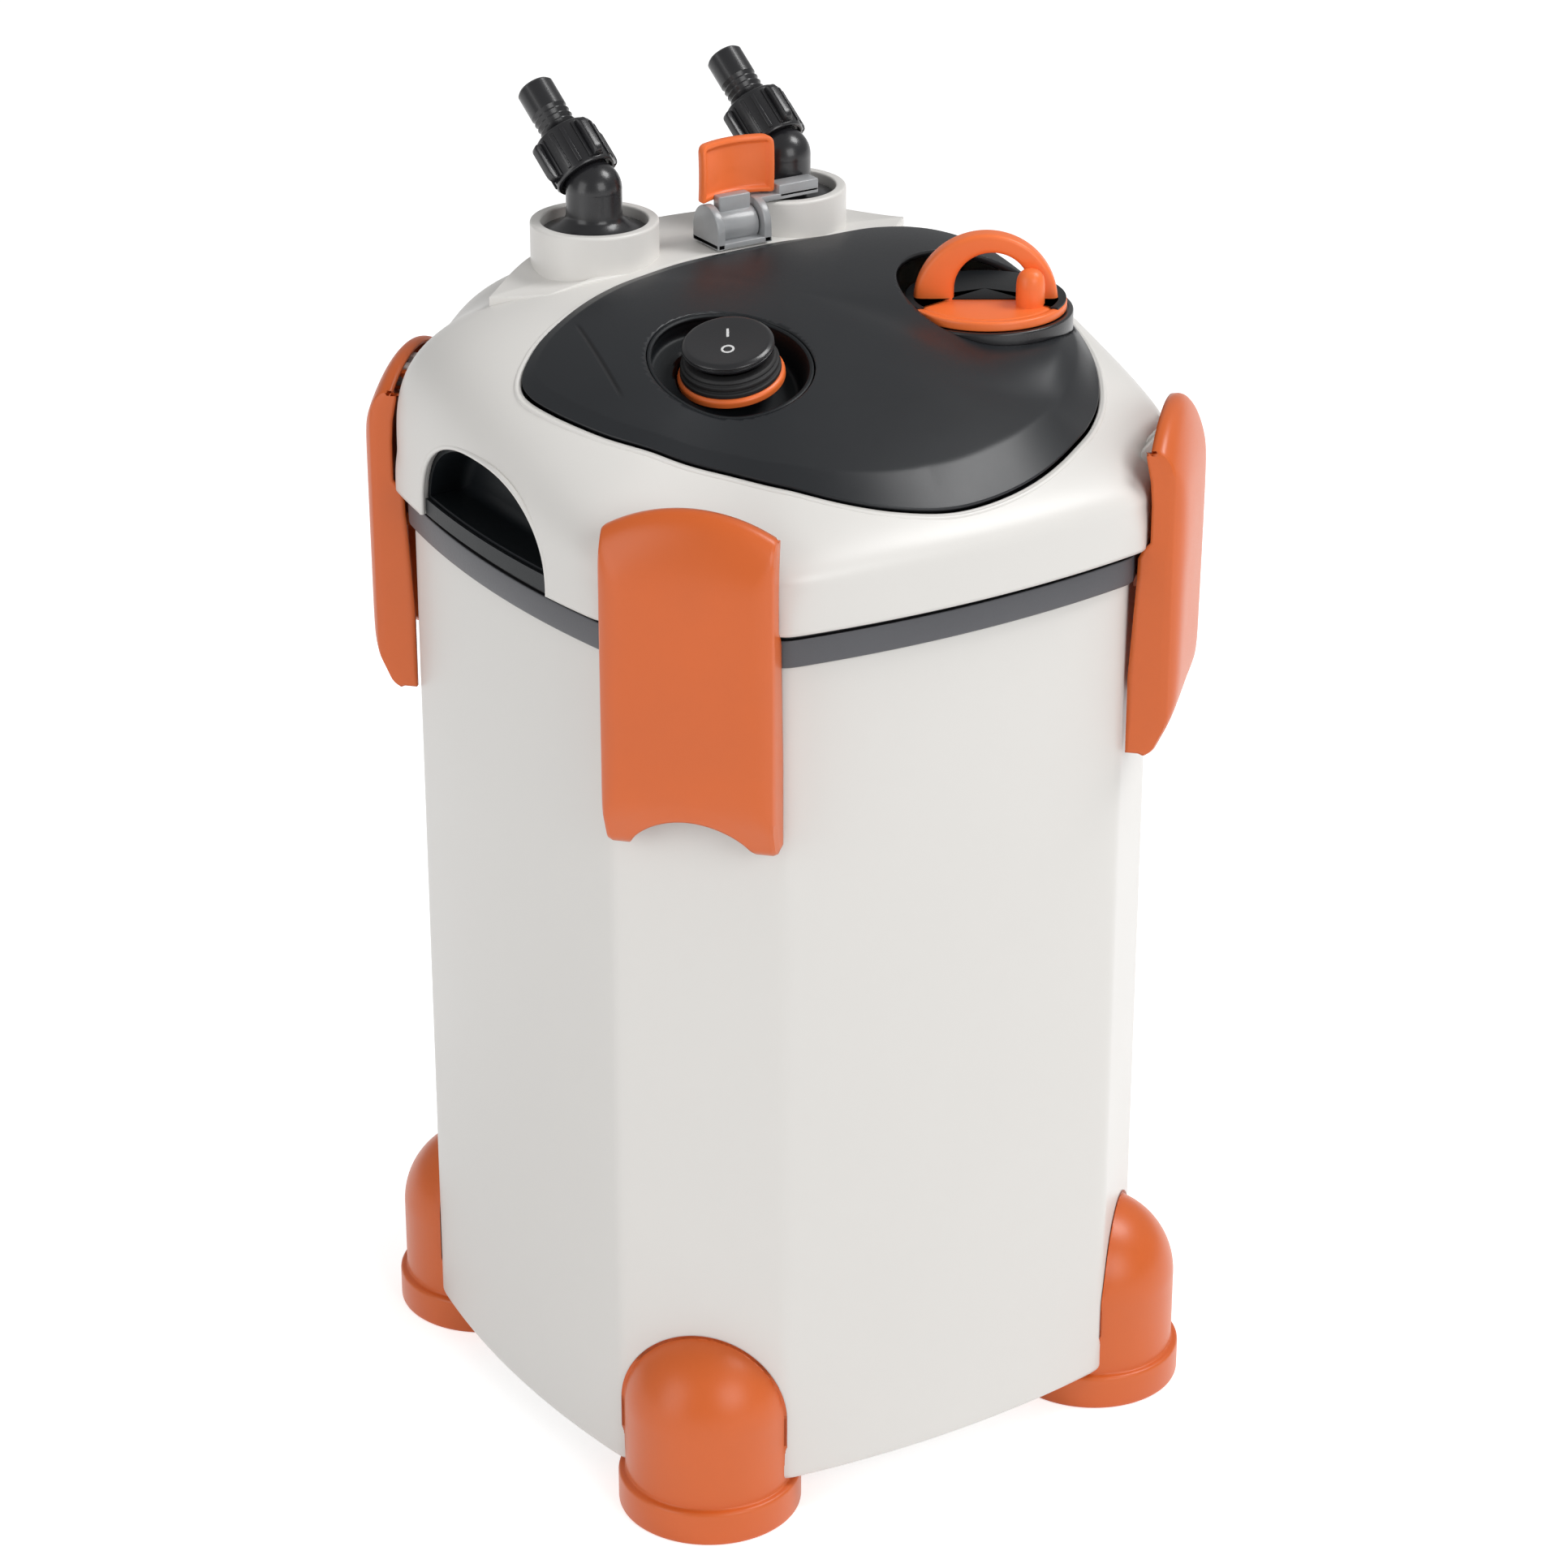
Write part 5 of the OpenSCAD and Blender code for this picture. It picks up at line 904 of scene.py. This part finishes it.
# what the trays hold, each round the riser's sleeve
media = {"off": -7.9, "sleeveAt": (68.0, -23.0), "sleeveR": 16.0, "foot": 24.8, "pitch": 92.3, "high": 83.5,
    "columns": 360}

def mediaBlock(low, high, crown, crumple):  # block round the sleeve; its top is crowned and uneven
    a = np.linspace(0, turn, 720, endpoint=False)
    r = outlineRadius(a, media["off"], 60.0)
    plan = np.column_stack([r*np.cos(a), r*np.sin(a)])
    a = np.linspace(0, turn, media["columns"], endpoint=False)[None]
    far = reachFrom(plan, a[0], media["sleeveAt"])[None]
    near = media["sleeveR"]
    steps = [(1.0, 0.03), (1.0, 0.5), (1.0, 0.9), (0.995, 0.96), (0.985, 0.99), (0.965, 1.0)] + [(k, 1.0)
        for k in np.linspace(0.93, 0.05, 30)]
    steps += [(0.02, 0.98), (0.0, 0.93), (0.0, 0.5), (0.0, 0.03), (0.02, 0.0), (0.5, 0.0), (0.98, 0.0)]
    share, level = np.array(steps).T[:, :, None]
    r = near + (far - near)*share
    x, y = media["sleeveAt"][0] + r*np.cos(a), media["sleeveAt"][1] + r*np.sin(a)
    waves = np.sin(x*0.11 + 1.3)*np.sin(y*0.13 + 0.4) + 0.5*np.sin(x*0.29 + y*0.23) + 0.3*np.sin(y*0.61
        - x*0.47)
    lift = (crown*(4*share*(1 - share)) + crumple*waves)*smoothStep((level - 0.7)/0.25)
    return sheet(np.stack([x, y, low + (high - low)*level - crown - 1.8*crumple + lift], 2), wrapRows=True)

low = media["foot"]
piece("ceramicBed", [mediaBlock(low, low + media["high"] - 7, 0.0, 0.4)], "lower_tray", firedClay,
    ["media_lower"])
rng = np.random.default_rng(11)
ring = turnedRing(softRect(2.9, 5.6, -6, 6, 0.6, 3), 14)
rings = []
for row in range(15):
    for column in range(17):
        x, y = (column - 8 + 0.5*(row % 2))*12.6, (row - 7)*12.9
        if math.hypot(x - 68, y + 23) > 23 and abs(x) < 98 and abs(y) < 98 and abs(x) + abs(y) < 158:
            spin, lean = rng.uniform(0, 180), rng.uniform(50, 90)
            rings.append(moved(ring, (x, y, low + media["high"] - 8.4 + rng.uniform(-0.8, 0.8)),
                rotZ(spin) @ rotX(lean)))
piece("ceramicRings", rings, "lower_tray", firedClay, crease=40)
print("ceramic rings:", len(rings))
low += media["pitch"]
piece("woolPad", [mediaBlock(low, low + media["high"] - 1, 2.4, 0.5)], "middle_tray", filterWool,
    ["media_middle"])
low += media["pitch"]
piece("foamPad", [mediaBlock(low, low + media["high"] - 1, 0.3, 0.12)], "upper_tray", foamBlue,
    ["media_upper"])
spongeSide = softRect(9, 21, 349.7, 386.9, [0.8, 1.6, 1.6, 0.8], 5)
piece("spongeCore", [turnedRing(spongeSide, at=wellFoot)], "cartridge", foamBlue,
    ["prefilter_sponge"])
print("media made")

# finishes of the pieces that keep their frame shape
finishes = ((softRubber, ("body_gasket", "cap_seal", "elbow_seals_inlet", "elbow_seals_outlet")),
    (innerPlastic, ("riser_tube", "basket_lower", "basket_middle", "basket_upper", "head_base",
    "prefilter_cage", "chamber_cover", "impeller")),
    (blackPlastic, ("cable_gland",)), (resinBlock, ("stator",)), (ferrite, ("rotor_magnet",)),
    (ceramicShaft, ("rotor_shaft",)),
    (softRubber, ("shaft_bushes",)), (brightSteel, ("base_screws",)),
    (clipOrange, ("valve_disc_inlet", "valve_disc_outlet")),
    (greyPlastic, ("clip_pins", "inlet_pipe", "outlet_pipe", "valve_rod", "lever_pin")))
for finish, names in finishes:
    for name in names:
        if name not in cadNodes:
            print("no node called", name)
            continue
        for place in cadNodes[name].material_slots:
            place.material = finish
print("frame pieces finished")
left = [n for n, o in cadNodes.items() if not o.hide_render and not any(n in names for _, names in finishes)]
print("still in frame finish:", left)

# floor, sky and soft studio lights
def whiteStage():
    net = Net("paleFloor")
    path = net.tree.nodes.new("ShaderNodeLightPath")
    seen, glossy, through = (Wire(net, path.outputs["Is " + kind + " Ray"])
        for kind in ("Camera", "Glossy", "Transmission"))
    for other in (glossy, through):
        seen = net.node("ShaderNodeMath", {"operation": "MAXIMUM"}, {0: seen, 1: other})
    return net.shine(Base_Color=(0.9, 0.9, 0.9), Roughness=0.9,
        Emission_Color=net.mix(seen, (0, 0, 0), (1, 1, 1)), Emission_Strength=stageLight["floorGlow"])

stageLight = {"floorGlow": 0.62, "world": 0.40}
floorMesh = bpy.data.meshes.new("paleFloor")
floorMesh.from_pydata([(-30, -30, 0), (30, -30, 0), (30, 30, 0), (-30, 30, 0)], [], [(0, 1, 2, 3)])
floorMesh.materials.append(whiteStage())
floorPlane = bpy.data.objects.new("paleFloor", floorMesh)
bpy.context.scene.collection.objects.link(floorPlane)

world = bpy.data.worlds.new("studio")
bpy.context.scene.world = world
world.use_nodes = True
nodes, links = world.node_tree.nodes, world.node_tree.links
path, blend = nodes.new("ShaderNodeLightPath"), nodes.new("ShaderNodeMixShader")
lit, shown = nodes.new("ShaderNodeBackground"), nodes["Background"]
for screen, strength in ((lit, stageLight["world"]), (shown, 1.0)):
    screen.inputs[0].default_value, screen.inputs[1].default_value = (1, 1, 1, 1), strength
for socket, out in zip(blend.inputs, (path.outputs["Is Camera Ray"], lit.outputs[0], shown.outputs[0])):
    links.new(out, socket)
links.new(blend.outputs[0], nodes["World Output"].inputs[0])

def softBox(name, at, size, power):  # an area light that faces the middle of the part
    light = bpy.data.lights.new(name, "AREA")
    light.shape, light.size, light.size_y, light.energy = "RECTANGLE", size[0], size[1], power
    made = bpy.data.objects.new(name, light)
    made.location = at
    made.rotation_mode = "QUATERNION"
    made.rotation_quaternion = (Vector((0, 0, 0.25)) - Vector(at)).to_track_quat("-Z", "Y")
    bpy.context.scene.collection.objects.link(made)

softBox("keyBox", (0.1, -2.4, 1.3), (1.3, 1.3), 19.5)
softBox("sheenBox", (1.1, -0.5, 1.95), (0.75, 0.75), 19)
softBox("sideBox", (-2.2, -0.3, 0.9), (1.2, 1.6), 12)
bpy.context.scene.view_settings.view_transform = "Standard"
print("stage lit")
